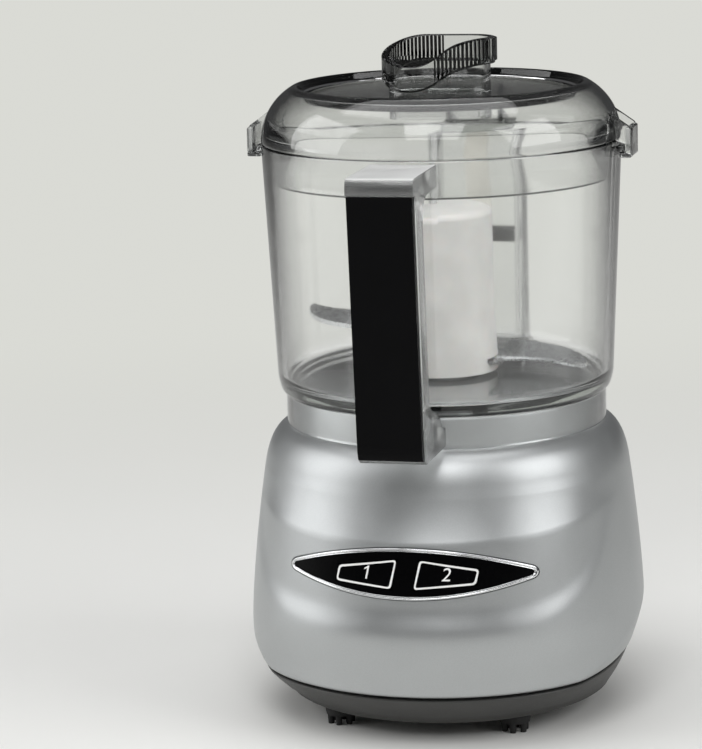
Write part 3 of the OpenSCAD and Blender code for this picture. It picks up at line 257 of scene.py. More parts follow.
def make_finishes(c):
    """Every finish of the object, by its record slot or by the place that it is used in."""
    made = {}

    mat, tree, shader = finish_nodes(
        "silver_lacquer", c.silver, Metallic=0.88, Roughness=0.42, Coat_Weight=0.1, Coat_Roughness=0.3,
    )
    flake = object_noise(tree, 5200, 2.0)
    vary_colour(tree, shader, flake, scaled(c.silver, 0.93), scaled(c.silver, 1.07))
    vary_roughness(tree, shader, object_noise(tree, 60, 4.0), 0.39, 0.45)
    vary_bump(tree, shader, flake, 0.06, 0.00003)
    made["silver_paint"] = mat

    def moulded(name, colour, rough, grain, depth, **more):
        """Moulded plastic; grain is the waves per metre of its texture and depth their height in metres."""
        mat, tree, shader = finish_nodes(name, colour, Roughness=rough, **more)
        fine = object_noise(tree, grain, 3.0)
        vary_colour(tree, shader, object_noise(tree, 90, 4.0), scaled(colour, 0.92), scaled(colour, 1.08))
        vary_roughness(tree, shader, fine, rough - 0.05, rough + 0.06)
        vary_bump(tree, shader, fine, 0.18, depth)
        return mat

    made["dark_shell"] = moulded("dark_moulding", c.cover, 0.46, 2600, 0.00004)
    made["black_rubber"] = moulded("soft_rubber", (0.012, 0.012, 0.012), 0.72, 1500, 0.00006)
    panel_black, dull = scaled(c.black, 0.7), 0.06
    made["black_plastic"] = moulded("black_satin", c.black, 0.34, 1800, 0.00001, Specular_IOR_Level=dull)
    made["panel_gloss"] = moulded("panel_gloss", panel_black, 0.16, 900, 0.000004, Specular_IOR_Level=dull)
    made["white_plastic"] = moulded(
        "hub_moulding", c.hub, 0.38, 1400, 0.00002, Subsurface_Weight=0.12, Subsurface_Scale=0.002,
    )
    made["nylon"] = moulded("nylon_moulding", (0.72, 0.70, 0.64), 0.48, 1600, 0.00002)
    made["board_green"] = moulded("board_mask", (0.02, 0.11, 0.05), 0.35, 700, 0.00001)
    made["carbon"] = moulded("brush_carbon", (0.02, 0.02, 0.02), 0.62, 1200, 0.00003)
    made["magnet_grey"] = moulded("ferrite", (0.05, 0.05, 0.055), 0.55, 1100, 0.00003)
    made["print"] = moulded("printed_marks", c.marks, 0.42, 800, 0.000003)

    def clear(name, colour, low, high, start, rim, density, share=1.0):
        """Clear moulding, of which share lets light through; low and high bound its roughness.

        A wall seen edge-on gets painted shade, darkening from the facing start down to rim; thick stretches
        darken by density.
        """
        mat, tree, shader = finish_nodes(name, colour, Roughness=low, IOR=1.49, Transmission_Weight=share)
        vary_roughness(tree, shader, object_noise(tree, 140, 5.0), low, high)
        # Painted shade: the colour darkens where a wall is seen edge-on, standing in for the dark that the
        # edge refracts
        weight = add_node(tree, "LayerWeight", Blend=0.5)
        ramp_colour(tree, shader, weight.outputs["Facing"], (start, colour), (0.92, scaled(colour, rim)))
        depth = add_node(tree, "VolumeAbsorption", Color=(*DEPTH_TINT, 1.0), Density=density)
        tree.links.new(depth.outputs["Volume"], tree.nodes["Material Output"].inputs["Volume"])
        return mat

    # Each clear finish below carries painted shade at its edge-on walls; start and rim set where it begins
    # and how dark it gets
    made["clear_plastic"] = clear("clear_moulding", c.clear, 0.03, 0.08, 0.42, 0.1, 30)
    made["clear_lid"] = clear("clear_lid", scaled(c.clear, 0.93), 0.03, 0.08, 0.4, 0.1, 60)
    made["clear_ring"] = clear("clear_ring", scaled(c.clear, 0.86), 0.02, 0.06, 0.3, 0.05, 120)
    # Painted shade: a dark copy of the clear finish, put on edges where the wall refracts dark
    made["clear_painted_shade"] = clear("clear_painted_shade", scaled(c.clear, 0.22), 0.03, 0.08, 0.3, 0.2, 120)
    made["clear_handle"] = clear("clear_handle", scaled(c.clear, 0.9), 0.14, 0.22, 0.45, 0.3, 30, 0.9)
    # Painted light: a whiter, less see-through copy for the handle's upward faces, so that they read as lit
    # from above
    made["clear_painted_light_top"] = clear("clear_painted_light_top", c.clear, 0.14, 0.22, 0.6, 1.0, 30, 0.35)

    mat, tree, shader = finish_nodes("bright_trim", c.trim, Metallic=1.0, Roughness=0.16)
    vary_roughness(tree, shader, object_noise(tree, 400, 3.0), 0.12, 0.22)
    made["bright_trim"] = mat

    def metal(name, colour, rough, scale, stretch):
        mat, tree, shader = finish_nodes(name, colour, Metallic=1.0, Roughness=rough)
        lines = object_noise(tree, scale, 3.0, stretch)
        vary_colour(tree, shader, lines, scaled(colour, 0.9), scaled(colour, 1.08))
        vary_roughness(tree, shader, lines, rough - 0.07, rough + 0.08)
        vary_bump(tree, shader, lines, 0.08, 0.00002)
        return mat

    made["steel"] = metal("ground_steel", c.steel, 0.26, 900, (1, 6, 1))
    made["bearing_bronze"] = metal("sintered_bronze", (0.55, 0.36, 0.16), 0.4, 1500, (1, 1, 1))
    made["copper"] = metal("enamelled_copper", (0.56, 0.24, 0.11), 0.36, 1300, (1, 1, 9))
    return made


FINISHES = {}


# Mesh helpers


def turn_round(bm, ring, steps):
    """Spins a closed row of points once round the drive axis."""
    edges = [bm.edges.new(pair) for pair in zip(ring, ring[1:] + ring[:1])]
    bmesh.ops.spin(
        bm, geom=ring + edges, cent=(0, 0, 0), axis=(0, 0, 1), angle=math.tau, steps=steps, use_merge=True,
    )


def wrap(rows, steps, place):
    """Spins a closed ladder of rows once round; place(row, bearing) says where each point goes, in mm."""
    bm = bmesh.new()
    turn_round(bm, [bm.verts.new((1.0, 0.0, float(k))) for k in range(len(rows))], steps)
    for v in bm.verts:
        bearing = math.degrees(math.atan2(v.co.x, -v.co.y)) % 360.0
        v.co = Vector(place(rows[round(v.co.z)], bearing)) * MM
    return bm


def soften(points, bends=4):
    """A closed outline in which a point with a third number is rounded off over that length."""
    made = []
    for i, p in enumerate(points):
        here = Vector(p[:2])
        if len(p) == 2:
            made.append(here)
            continue
        before, after = Vector(points[i - 1][:2]), Vector(points[(i + 1) % len(points)][:2])
        a = here + (before - here).normalized() * p[2]
        b = here + (after - here).normalized() * p[2]
        for k in range(bends + 1):
            t = k / bends
            made.append(a * (1 - t) ** 2 + here * 2 * t * (1 - t) + b * t * t)
    return made


def lathe(points, steps=160, bends=5):
    """A closed profile of radius and height, turned round the drive axis."""
    bm = bmesh.new()
    turn_round(bm, [bm.verts.new((p.x * MM, 0, p.y * MM)) for p in soften(points, bends)], steps)
    bmesh.ops.dissolve_degenerate(bm, edges=bm.edges, dist=1e-7)
    return bm


def round_off(bm, edges, size, segments):
    """Rounds edges over a size in mm."""
    bmesh.ops.bevel(
        bm, geom=edges, offset=size * MM, offset_type="OFFSET", segments=segments, profile=0.5,
        affect="EDGES", material=-1, clamp_overlap=True,
    )


def slab(points, low, high, turn=Matrix(), bevel=0.0, bends=5, segments=3):
    """An outline in X and Y carried from low to high in Z, its rims rounded, then turned into place."""
    bm = bmesh.new()
    ring = [bm.verts.new((p.x * MM, p.y * MM, low * MM)) for p in soften(points, bends)]
    face = bm.faces.new(ring)
    top = bmesh.ops.extrude_face_region(bm, geom=[face])
    moved = [g for g in top["geom"] if isinstance(g, bmesh.types.BMVert)]
    bmesh.ops.translate(bm, verts=moved, vec=(0, 0, (high - low) * MM))
    bmesh.ops.recalc_face_normals(bm, faces=bm.faces)
    if bevel:
        rims = [e for e in bm.edges if abs(e.verts[0].co.z - e.verts[1].co.z) < 1e-7]
        round_off(bm, rims, bevel, segments)
    bmesh.ops.transform(bm, matrix=turn, verts=bm.verts)
    return bm


def pegs(places, radius, low, high, sides=40):
    """Upright round pegs in one mesh, to add or to cut."""
    bm = bmesh.new()
    for x, y in places:
        middle = Matrix.Translation((x * MM, y * MM, (low + high) / 2 * MM))
        bmesh.ops.create_cone(
            bm, cap_ends=True, segments=sides, radius1=radius * MM, radius2=radius * MM,
            depth=(high - low) * MM, matrix=middle,
        )
    return bm


# Turns of a slab: its outline then lies in Y and Z, or in X and Z
ON_EDGE = Matrix(((0, 0, 1, 0), (1, 0, 0, 0), (0, 1, 0, 0), (0, 0, 0, 1)))
UPRIGHT = Matrix.Rotation(math.pi / 2, 4, "X")


def loose(bm, name):
    """A mesh object that still has to be joined to a piece."""
    bmesh.ops.remove_doubles(bm, verts=bm.verts, dist=1e-6)
    bmesh.ops.delete(bm, geom=[e for e in bm.edges if not e.link_faces], context="EDGES")
    bmesh.ops.recalc_face_normals(bm, faces=bm.faces)
    mesh = bpy.data.meshes.new(name)
    bm.to_mesh(mesh)
    bm.free()
    obj = bpy.data.objects.new(name, mesh)
    bpy.context.scene.collection.objects.link(obj)
    return obj


def as_mesh(obj):
    """A mesh of the object as its modifiers or its text make it."""
    bpy.context.view_layer.update()
    graph = bpy.context.evaluated_depsgraph_get()
    return bpy.data.meshes.new_from_object(obj.evaluated_get(graph))


def joined(base, others, operation):
    """Adds or cuts the other shapes, so that the piece is one closed skin."""
    for other in others:
        mod = base.modifiers.new("join", "BOOLEAN")
        mod.operation = operation
        mod.solver = "EXACT"
        mod.object = other
        done = as_mesh(base)
        base.modifiers.clear()
        spent = base.data
        base.data = done
        bpy.data.meshes.remove(spent)
        bpy.data.meshes.remove(other.data)
    return base


def shade(obj, sharp):
    """Smooth shading, with edges over the given angle kept crisp."""
    bm = bmesh.new()
    bm.from_mesh(obj.data)
    bmesh.ops.remove_doubles(bm, verts=bm.verts, dist=2e-6)
    bmesh.ops.dissolve_degenerate(bm, edges=bm.edges, dist=1e-6)
    limit = math.radians(sharp)
    for face in bm.faces:
        face.smooth = True
    for edge in bm.edges:
        edge.smooth = len(edge.link_faces) == 2 and edge.calc_face_angle(0.0) < limit
    bm.to_mesh(obj.data)
    bm.free()


def piece(obj, body, finish, nodes=(), sharp=38):
    """Shades the object, paints it and hangs it on its body in place of the named solids."""
    shade(obj, sharp)
    obj.data.materials.clear()
    obj.data.materials.append(FINISHES[finish])
    obj.visible_shadow = not finish.startswith("clear")
    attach(obj, body)
    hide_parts(*nodes)
    return obj


def crisp_copy(node, sharp=32):
    """A merged, smooth-shaded copy of a solid, for forms that are already right."""
    source = NODES[node]
    obj = bpy.data.objects.new(node + "_skin", source.data.copy())
    bpy.context.scene.collection.objects.link(obj)
    record = frame["record"]
    slot = {s["node"]: s["material_slot"] for s in record["subparts"]}[node]
    return piece(obj, source["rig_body"], slot, [node], sharp)


# Housing skin, in mm; a bearing of 0 is the front and 90 is +X


def ease(a, b, x):
    t = max(0.0, min(1.0, (x - a) / (b - a)))
    return t * t * (3 - 2 * t)


def side_r(z):
    if z > BELLY_Z:
        return BELLY_R - (BELLY_R - WAIST_R) * ((z - BELLY_Z) / (SHOULDER_Z - BELLY_Z)) ** SIDE_CURVE
    return BELLY_R - SIDE_TUCK * ((BELLY_Z - z) / (BELLY_Z - SPLIT)) ** 2


def skin_y(z):
    return -LEAN * (DECK - z) / (DECK - SPLIT)


def edge_reach(a):
    return max(0.0, -BELLY_R * math.cos(math.radians(a)) - LEAN + EDGE_START)


def split_at(a):
    return SPLIT + SPLIT_SLOPE * edge_reach(a)


def crease_at(a):
    return min(SPLIT + CREASE_MAX, SPLIT + 1 + CREASE_SLOPE * edge_reach(a))


def off_front(a):
    return min(a, 360 - a)


def ridge_at(a):
    return BROW_Z + RIDGE_RISE * (min(BROW_END, off_front(a)) / RIDGE_SPAN) ** 2


def brow(a, z):
    """The ridge over the panel, the hollow that the panel lies in and the lip under it."""
    ridge = ridge_at(a)
    lip = LIP_Z + (ridge - LIP_Z) * min(1, off_front(a) / BROW_END) ** LIP_CURVE
    out = RIDGE_OUT * max(0.0, min(1.0, (ridge + HOLLOW_H - z) / HOLLOW_H)) ** 2
    out += LIP_OUT * ease(lip + LIP_ABOVE, lip - LIP_BELOW, z)
    fall = 1 - LIP_FALL * ease(LIP_Z - LIP_BELOW, SPLIT + 2, z)
    return out * ease(BROW_GONE, BROW_FULL, off_front(a)) * fall


def tower_at(a):
    return 1 - ease(TOWER_FULL, TOWER_GONE, abs(180 - a))


def skin_r(a, z):
    r = side_r(z) + brow(a, z) - CREASE_IN * max(0.0, crease_at(a) - z)
    return r + (TOWER_R - r) * tower_at(a) * ease(TOWER_FOOT, TOWER_TOP, z)


def shoulder_row(t):
    """Radius and height on the curve from the waist to the deck, which leaves the side without a kink."""
    slope = (BELLY_R - WAIST_R) * SIDE_CURVE / (SHOULDER_Z - BELLY_Z)
    p = [
        (WAIST_R, SHOULDER_Z), (WAIST_R - SHOULDER_PULL * slope, SHOULDER_Z + SHOULDER_PULL),
        (DECK_R + DECK_PULL, DECK), (DECK_R, DECK),
    ]
    w = ((1 - t) ** 3, 3 * t * (1 - t) ** 2, 3 * t * t * (1 - t), t**3)
    return tuple(sum(k * q[i] for k, q in zip(w, p)) for i in (0, 1))


def shoulder_r(a, r):
    f = (WAIST_R - r) / (WAIST_R - DECK_R)
    return r + (DECK_R + (TOWER_R - DECK_R) * math.sqrt(max(0.0, 1 - f * f)) - r) * tower_at(a)


def on_skin(a, r, z):
    t = math.radians(a)
    return (r * math.sin(t), skin_y(z) - r * math.cos(t), z)


def housing_rows(wall):
    """Ladder of rows up the outside, over the collar and its spigot, and down the inside."""
    top, under = PLATEAU + SPIGOT_H, PLATEAU - COLLAR_WALL
    collar = [
        (COLLAR_R + 0.2, DECK), (COLLAR_R, DECK + 0.2), (COLLAR_R, PLATEAU, 1.5),
        (SPIGOT_R, PLATEAU, 0.5), (SPIGOT_R, top, 0.4),
    ]
    rows = [("low", 0.9, 0.0), ("low", 0.3, 0.15), ("low", 0.0, EDGE_H)]
    rows += [("under", k / 6) for k in range(1, 6)]
    rows += [("side", k / 28) for k in range(29)]
    rows += [("above", k / 14) for k in range(1, 15)]
    rows += [("shoulder", k / 12) for k in range(1, 13)]
    rows += [("round", p.x, p.y) for p in soften(collar)]
    rows += [("round", SPIGOT_BORE_R, top), ("round", SPIGOT_BORE_R, under)]
    rows += [("round", COLLAR_R - COLLAR_WALL, under), ("round", COLLAR_R - COLLAR_WALL, DECK - wall)]
    rows += [("roof", 0)] + [("inside", k / 10) for k in range(10, -1, -1)]
    return rows


def housing_place(wall):
    """The function that puts each row of the ladder in its place."""
    def place(row, a):
        kind, low = row[0], split_at(a)
        if kind == "low":
            return on_skin(a, skin_r(a, low + row[2]) - row[1], low + row[2])
        if kind == "under":
            z = low + EDGE_H + (crease_at(a) - low - EDGE_H) * row[1]
            return on_skin(a, skin_r(a, z), z)
        if kind == "side":
            z = crease_at(a) + (ridge_at(a) - crease_at(a)) * row[1]
            return on_skin(a, skin_r(a, z), z)
        if kind == "above":
            z = ridge_at(a) + (SHOULDER_Z - ridge_at(a)) * row[1]
            return on_skin(a, skin_r(a, z), z)
        if kind == "shoulder":
            r, z = shoulder_row(row[1])
            return on_skin(a, shoulder_r(a, r), z)
        if kind == "roof":
            return on_skin(a, shoulder_r(a, DECK_R + ROOF_OUT) - wall, DECK - wall)
        if kind == "inside":
            z = low + (SHOULDER_Z - low) * row[1]
            return on_skin(a, skin_r(a, z) - wall, z)
        t = math.radians(a)
        return (row[1] * math.sin(t), -row[1] * math.cos(t), row[2])

    return place


# Control panel: x and z run across its face, out is how far a point stands off it

PANEL_TURN = Matrix.Rotation(math.radians(-PANEL_TILT), 4, "X")
PANEL = Matrix.Translation((0, PANEL_Y * MM, PANEL_Z * MM)) @ PANEL_TURN


def panel_point(x, z, out):
    sag = PANEL_R - math.sqrt(PANEL_R**2 - x * x)
    return PANEL @ Vector((x * MM, (sag - out) * MM, z * MM))


def lens_point(grow, a):
    """A point of the lens outline: upper edge to 150, right tip to 180, lower edge to 330, left tip."""
    up = (LENS_HALF**2 + PANEL_UP**2) / (2 * PANEL_UP)
    down = (LENS_HALF**2 + PANEL_DOWN**2) / (2 * PANEL_DOWN)
    r1, c1, r2, c2 = up - TIP_R, PANEL_UP - up, down - TIP_R, down - PANEL_DOWN
    z_tip = ((r1 * r1 - c1 * c1) - (r2 * r2 - c2 * c2)) / (2 * (c2 - c1))
    x_tip = math.sqrt(r1 * r1 - (z_tip - c1) ** 2)
    upper, lower = math.atan2(x_tip, z_tip - c1), math.pi - math.atan2(x_tip, c2 - z_tip)
    lower_left, left = math.tau - lower, math.tau - upper
    for end, span, x, z, r, n0, n1 in (
        (150, 150, 0, c1, up, -upper, upper), (180, 30, x_tip, z_tip, TIP_R, upper, lower),
        (330, 150, 0, c2, down, lower, lower_left), (361, 30, -x_tip, z_tip, TIP_R, lower_left, left),
    ):
        if a < end:
            n = n1 + (n1 - n0) * (a - min(end, 360)) / span
            return x + (r + grow) * math.sin(n), z + (r + grow) * math.cos(n) + TIP_RISE


def lens_prism(grow, out, inner, steps=96):
    """A closed lens-shaped block through the panel, to cut its opening."""
    bm = bmesh.new()
    ring = []
    for k in range(steps):
        x, z = lens_point(grow, k * 360 / steps)
        ring.append(bm.verts.new(PANEL @ Vector((x * MM, -out * MM, z * MM))))
    face = bm.faces.new(ring)
    grown = bmesh.ops.extrude_face_region(bm, geom=[face])
    moved = [g for g in grown["geom"] if isinstance(g, bmesh.types.BMVert)]
    bmesh.ops.translate(bm, verts=moved, vec=PANEL.to_3x3() @ Vector((0, (out + inner) * MM, 0)))
    return bm


def on_panel(bm, out):
    """Wraps a flat drawing in X and Y, in metres, onto the panel's curved face."""
    for v in bm.verts:
        v.co = panel_point(v.co.x / MM, v.co.y / MM, out)
    return bm


def button_corners(side, grow):
    """Outline of a button, tall at the middle of the panel, short at its outer end, slanted."""
    near, far = side * (BUTTON_NEAR - grow), side * (BUTTON_FAR + grow)
    points = [
        (near - 0.95, -3.8 - grow), (far - 0.57, -1.8 - grow),
        (far + 0.38, 3.5 + grow), (near + 0.95, 6.1 + grow),
    ]
    return points if side > 0 else points[::-1]


class CHOPPER_OT_housing(bpy.types.Operator):
    """Lacquered housing with its collar, spigot, panel opening and tower"""

    bl_idname = "chopper.housing"
    bl_label = "Housing"

    def execute(self, context):
        wall = context.scene.chopper_sizes.wall / MM
        skin = loose(wrap(housing_rows(wall), steps=160, place=housing_place(wall)), "housing_skin")
        lying = Matrix.Translation((0, 0, GLAND_Z * MM)) @ Matrix.Rotation(math.radians(-90), 4, "X")
        pad = pegs([(0, 0)], GLAND_PAD_R, low=GLAND_PAD_Y, high=GLAND_Y, sides=64)
        bore = pegs([(0, 0)], GLAND_BORE_R, low=50, high=70, sides=64)
        for part in (pad, bore):
            bmesh.ops.transform(part, matrix=lying, verts=part.verts)
        joined(skin, [loose(pad, "gland_pad")], "UNION")
        rod_bore = pegs([(0, ROD_Y)], ROD_BORE_R, low=DECK - 12, high=DECK + 2)
        cuts = (lens_prism(grow=1.65, out=6, inner=20), rod_bore, bore)
        joined(skin, [loose(cut, "housing_cut") for cut in cuts], "DIFFERENCE")
        piece(skin, "base", "silver_paint", ["motor_housing"], sharp=42)
        return {"FINISHED"}


class CHOPPER_OT_stand(bpy.types.Operator):
    """Base cover, feet, screws and the cord gland"""

    bl_idname = "chopper.stand"
    bl_label = "Base cover and feet"

    def execute(self, context):
        self.cover()
        for node in (
            "foot_front_left", "foot_front_right", "foot_rear_left", "foot_rear_right",
            "cover_screws", "cord_gland",
        ):
            crisp_copy(node)
        return {"FINISHED"}

    def cover(self):
        """Dish that tapers in from a shadow gap under the housing's edge to a flat, vented floor."""
        rows = [
            ("edge", 5.3, -4), ("edge", 2.9, -4), ("edge", 2.9, 1.0), ("edge", 1.5, 1.0), ("edge", 1.1, 1.2),
            ("edge", COVER_IN, COVER_GAP),
        ]
        rows += [("dish", k / 5) for k in range(1, 5)]
        rows += [
            ("ring", COVER_R, COVER_Z), ("ring", 55.3, 7.0), ("ring", 54.4, 6.4), ("ring", 53.2, FOOT_H),
            ("ring", 0, FOOT_H), ("ring", 0, 8.6), ("ring", 51.6, 9.6),
        ]

        def place(row, a):
            low, t = split_at(a), math.radians(a)
            if row[0] == "edge":
                return on_skin(a, skin_r(a, low) - row[1], low - row[2])
            if row[0] == "ring":
                r, z = row[1:]
            else:
                k = row[1]
                r = (skin_r(a, low) - COVER_IN) * (1 - k) + COVER_R * k + COVER_BULGE * k * (1 - k)
                z = (low - COVER_GAP) * (1 - k) + COVER_Z * k
            return (r * math.sin(t), -LEAN - r * math.cos(t), z)

        dish = loose(wrap(rows, steps=160, place=place), "cover_skin")
        turn = math.radians(POST_BEARING)
        across, along = POST_REACH * math.cos(turn), POST_REACH * math.sin(turn)
        posts = [(x * across, y * along - LEAN) for x in (-1, 1) for y in (-1, 1)]
        joined(dish, [loose(pegs(posts, POST_R, FOOT_H + 1, FOOT_H + 5.7), "cover_posts")], "UNION")
        vents = bmesh.new()
        for i in range(-4, 5):
            spot = Matrix.Translation((VENT_PITCH * i * MM, -LEAN * MM, FOOT_H * MM))
            size = Matrix.Diagonal((VENT_W * MM, (VENT_L - 2 * abs(i)) * MM, VENT_CUT * MM, 1))
            bmesh.ops.create_cube(vents, size=1, matrix=spot @ size)
        heads = pegs(posts, HEAD_BORE_R, FOOT_H - 1, FOOT_H + 3)
        screws = pegs(posts, SCREW_BORE_R, FOOT_H - 1, FOOT_H + 19)
        joined(dish, [loose(cut, "cover_cut") for cut in (heads, screws, vents)], "DIFFERENCE")
        piece(dish, "base", "dark_shell", ["base_cover"], sharp=40)


class CHOPPER_OT_panel(bpy.types.Operator):
    """Lens-shaped panel with its bright rim, buttons and printed marks"""

    bl_idname = "chopper.panel"
    bl_label = "Control panel"

    def execute(self, context):
        sizes = context.scene.chopper_sizes
        # Section of the bright rim: out from the lens outline, and off the panel's face
        section = [
            (1.4, -2.4), (1.4, 0.3), (1.25, 0.6), (1.0, 0.7), (0.75, 0.6), (0.6, 0.3),
            (0.5, 0.3), (0.42, 0.48), (0.3, 0.53), (0.2, 0.45), (0.15, 0.1), (0.15, -2.4),
        ]

        def place(row, a):
            x, z = lens_point(row[0], a)
            return panel_point(x, z, row[1]) / MM

        rim = loose(wrap(section, steps=192, place=place), "panel_rim")
        piece(rim, "base", "bright_trim", ["panel_bezel"], sharp=50)
        for node in ("control_panel", "chop_button", "grind_button"):
            crisp_copy(node).data.materials[0] = FINISHES["panel_gloss"]
        for side, body, mark in ((-1, "left_button", "1"), (1, "right_button", "2")):
            self.outline(side, body, sizes)
            self.numeral(side, body, mark, sizes)
        return {"FINISHED"}

    def outline(self, side, body, sizes):
        bm = bmesh.new()
        loops = self.loop(bm, side, grow=-MARK_IN, corner=1.3)
        loops += self.loop(bm, side, grow=-MARK_IN - sizes.line_w / MM, corner=0.8)
        bmesh.ops.bridge_loops(bm, edges=loops)
        piece(loose(on_panel(bm, MARK_OUT), "button_outline_" + body), body, "print")

    def loop(self, bm, side, grow, corner):
        """A closed row of edges round a button, cut into short ones so that they bend with the panel."""
        outline = soften([(x, z, corner) for x, z in button_corners(side, grow)], 5)
        verts = []
        for p, q in zip(outline, outline[1:] + outline[:1]):
            cuts = 10 if (p - q).length > 1.2 else 1
            verts += [bm.verts.new((*(p.lerp(q, k / cuts) * MM), 0)) for k in range(cuts)]
        return [bm.edges.new(pair) for pair in zip(verts, verts[1:] + verts[:1])]

    def numeral(self, side, body, mark, sizes):
        curve = bpy.data.curves.new("numeral", "FONT")
        curve.body = mark
        curve.size = sizes.print_h * FONT_SCALE
        curve.shear = FONT_SLANT
        curve.align_x, curve.align_y = "CENTER", "CENTER"
        text = bpy.data.objects.new("numeral", curve)
        bpy.context.scene.collection.objects.link(text)
        mesh = as_mesh(text)
        bpy.data.objects.remove(text)
        bm = bmesh.new()
        bm.from_mesh(mesh)
        bpy.data.meshes.remove(mesh)
        if mark == "1":
            self.flag(bm)
        bmesh.ops.translate(bm, verts=bm.verts, vec=(side * NUMERAL_X * MM, NUMERAL_Z * MM, 0))
        piece(loose(on_panel(bm, MARK_OUT), "numeral_" + body), body, "print")

    def flag(self, bm):
        """The short stroke at the head of the 1, so that it doesn't read as a bar."""
        head = max(v.co.y for v in bm.verts)
        left = min(v.co.x for v in bm.verts if v.co.y > head - 0.1 * MM)
        corners = [(0.25, 0), (0.05, -0.75), (-1.25, -1.25), (-1.1, -0.7)]
        bm.faces.new([bm.verts.new((left + x * MM, head + y * MM, 0)) for x, y in corners][::-1])


class CHOPPER_OT_bowl(bpy.types.Operator):
    """Clear bowl with its skirt, centre tube, handle frame, rear column and lock ribs"""

    bl_idname = "chopper.bowl"
    bl_label = "Bowl"

    def execute(self, context):
        sizes = context.scene.chopper_sizes
        wall = sizes.bowl_wall / MM
        profile = [
            (SKIRT_IN, SKIRT_Z, 0.4), (SKIRT_R, SKIRT_Z, 0.7), (SKIRT_R, 109.3, 0.8), (56.2, 109.9, 1.2),
            (57.4, 113.6, 2.4), (RIM_R, RIM_Z, 0.6), (RIM_R - wall, RIM_Z, 0.6), (55.2, FLOOR_Z, 3.6),
            (TUBE_R, FLOOR_Z, 1.2), (TUBE_R, TUBE_TOP, 0.7), (TUBE_BORE_R, TUBE_TOP, 0.5),
            (TUBE_BORE_R, BOWL_Z, 0.5), (SKIRT_IN, BOWL_Z, 0.8),
        ]
        body = loose(lathe(profile, steps=192), "bowl_skin")
        parts = [self.handle(), self.column(sizes)]
        parts += [self.rib(a) for a in (90, 270)]
        joined(body, parts, "UNION")
        corners = [
            (-CHANNEL_HALF, CHANNEL_IN), (CHANNEL_HALF, CHANNEL_IN),
            (CHANNEL_HALF, CHANNEL_OUT), (-CHANNEL_HALF, CHANNEL_OUT),
        ]
        channel = loose(slab([(x, y, 0.6) for x, y in corners], low=GUIDE_TOP, high=200), "channel_cut")
        under = loose(slab(corners, low=90, high=GUIDE_LOW), "under_cut")
        guide = loose(pegs([(0, ROD_Y)], GUIDE_R, low=94, high=114), "guide_cut")
        joined(body, [channel, under, guide], "DIFFERENCE")
        piece(body, "bowl", "clear_plastic", ["work_bowl"], sharp=35)
        body.data.materials.append(FINISHES["clear_handle"])
        body.data.materials.append(FINISHES["clear_painted_light_top"])
        # Painted light: handle faces that point up take the lighter copy; the rest take the frosted handle
        # finish
        for face in body.data.polygons:
            if face.center.y < HANDLE_START * MM:
                face.material_index = 2 if face.normal.z > 0.8 else 1
        return {"FINISHED"}

    def handle(self):
        outline = [
            (-59.3, HANDLE_TOP), (HANDLE_FRONT, HANDLE_TOP, 3), (HANDLE_FRONT, GRIP_TOP + 0.2, 0.4),
            (-91.3, GRIP_TOP + 0.2), (-84.7, GRIP_LOW), (-83.6, 100, 1.5), (-53.3, 99.6), (-53.3, 106),
            (-57.5, 106, 2), (-62, 112.4, 5), (-76.6, 116.4, 4), (-81.6, GRIP_TOP - 2, 9),
            (-59.3, GRIP_TOP - 1.6),
        ]
        return loose(slab(outline, -HANDLE_HALF, HANDLE_HALF, ON_EDGE, bevel=1.8), "handle_part")

    def column(self, sizes):
        outline = [
            (52.7, COLUMN_LOW), (COLUMN_Y, COLUMN_LOW, 1.2), (COLUMN_Y, COLUMN_TOP, 0.8), (58.5, COLUMN_TOP),
            (55.05, 111), (52.7, 109),
        ]
        return loose(slab(outline, -COLUMN_HALF, COLUMN_HALF, ON_EDGE, sizes.edge / MM), "column_part")

    def rib(self, bearing):
        outline = [(60, -6, 0.5), (63.4, -6, 0.8), (63.4, 6, 0.8), (60, 6, 0.5)]
        turn = Matrix.Rotation(math.radians(bearing - 90), 4, "Z")
        return loose(slab(outline, RIM_Z - 3.6, RIM_Z - 1.8, turn, bevel=0.3), "rib_part")


class CHOPPER_OT_grip(bpy.types.Operator):
    """Black grip plate on the handle's face"""

    bl_idname = "chopper.grip"
    bl_label = "Handle grip"

    def execute(self, context):
        outline = [
            (HANDLE_FRONT, GRIP_TOP), (-91.4, GRIP_TOP), (-84.8, GRIP_LOW), (-86.6, GRIP_LOW, 0.8),
            (-88, GRIP_LOW + 3, 1.5),
        ]
        grip = slab(outline, -GRIP_HALF, GRIP_HALF, ON_EDGE)
        face = [e for e in grip.edges if all(v.co.y < GRIP_FACE * MM for v in e.verts)]
        long = [e for e in face if abs(e.verts[0].co.z - e.verts[1].co.z) > 50 * MM]
        round_off(grip, long, size=1.9, segments=6)
        low = [e for e in grip.edges if all(v.co.z < (GRIP_LOW + 0.1) * MM for v in e.verts)]
        foot = [e for e in low if all(abs(v.co.x) > (GRIP_HALF - 0.2) * MM for v in e.verts)]
        round_off(grip, foot, size=2.2, segments=6)
        piece(loose(grip, "grip_plate"), "bowl", "black_plastic", ["handle_grip"], sharp=45)
        return {"FINISHED"}


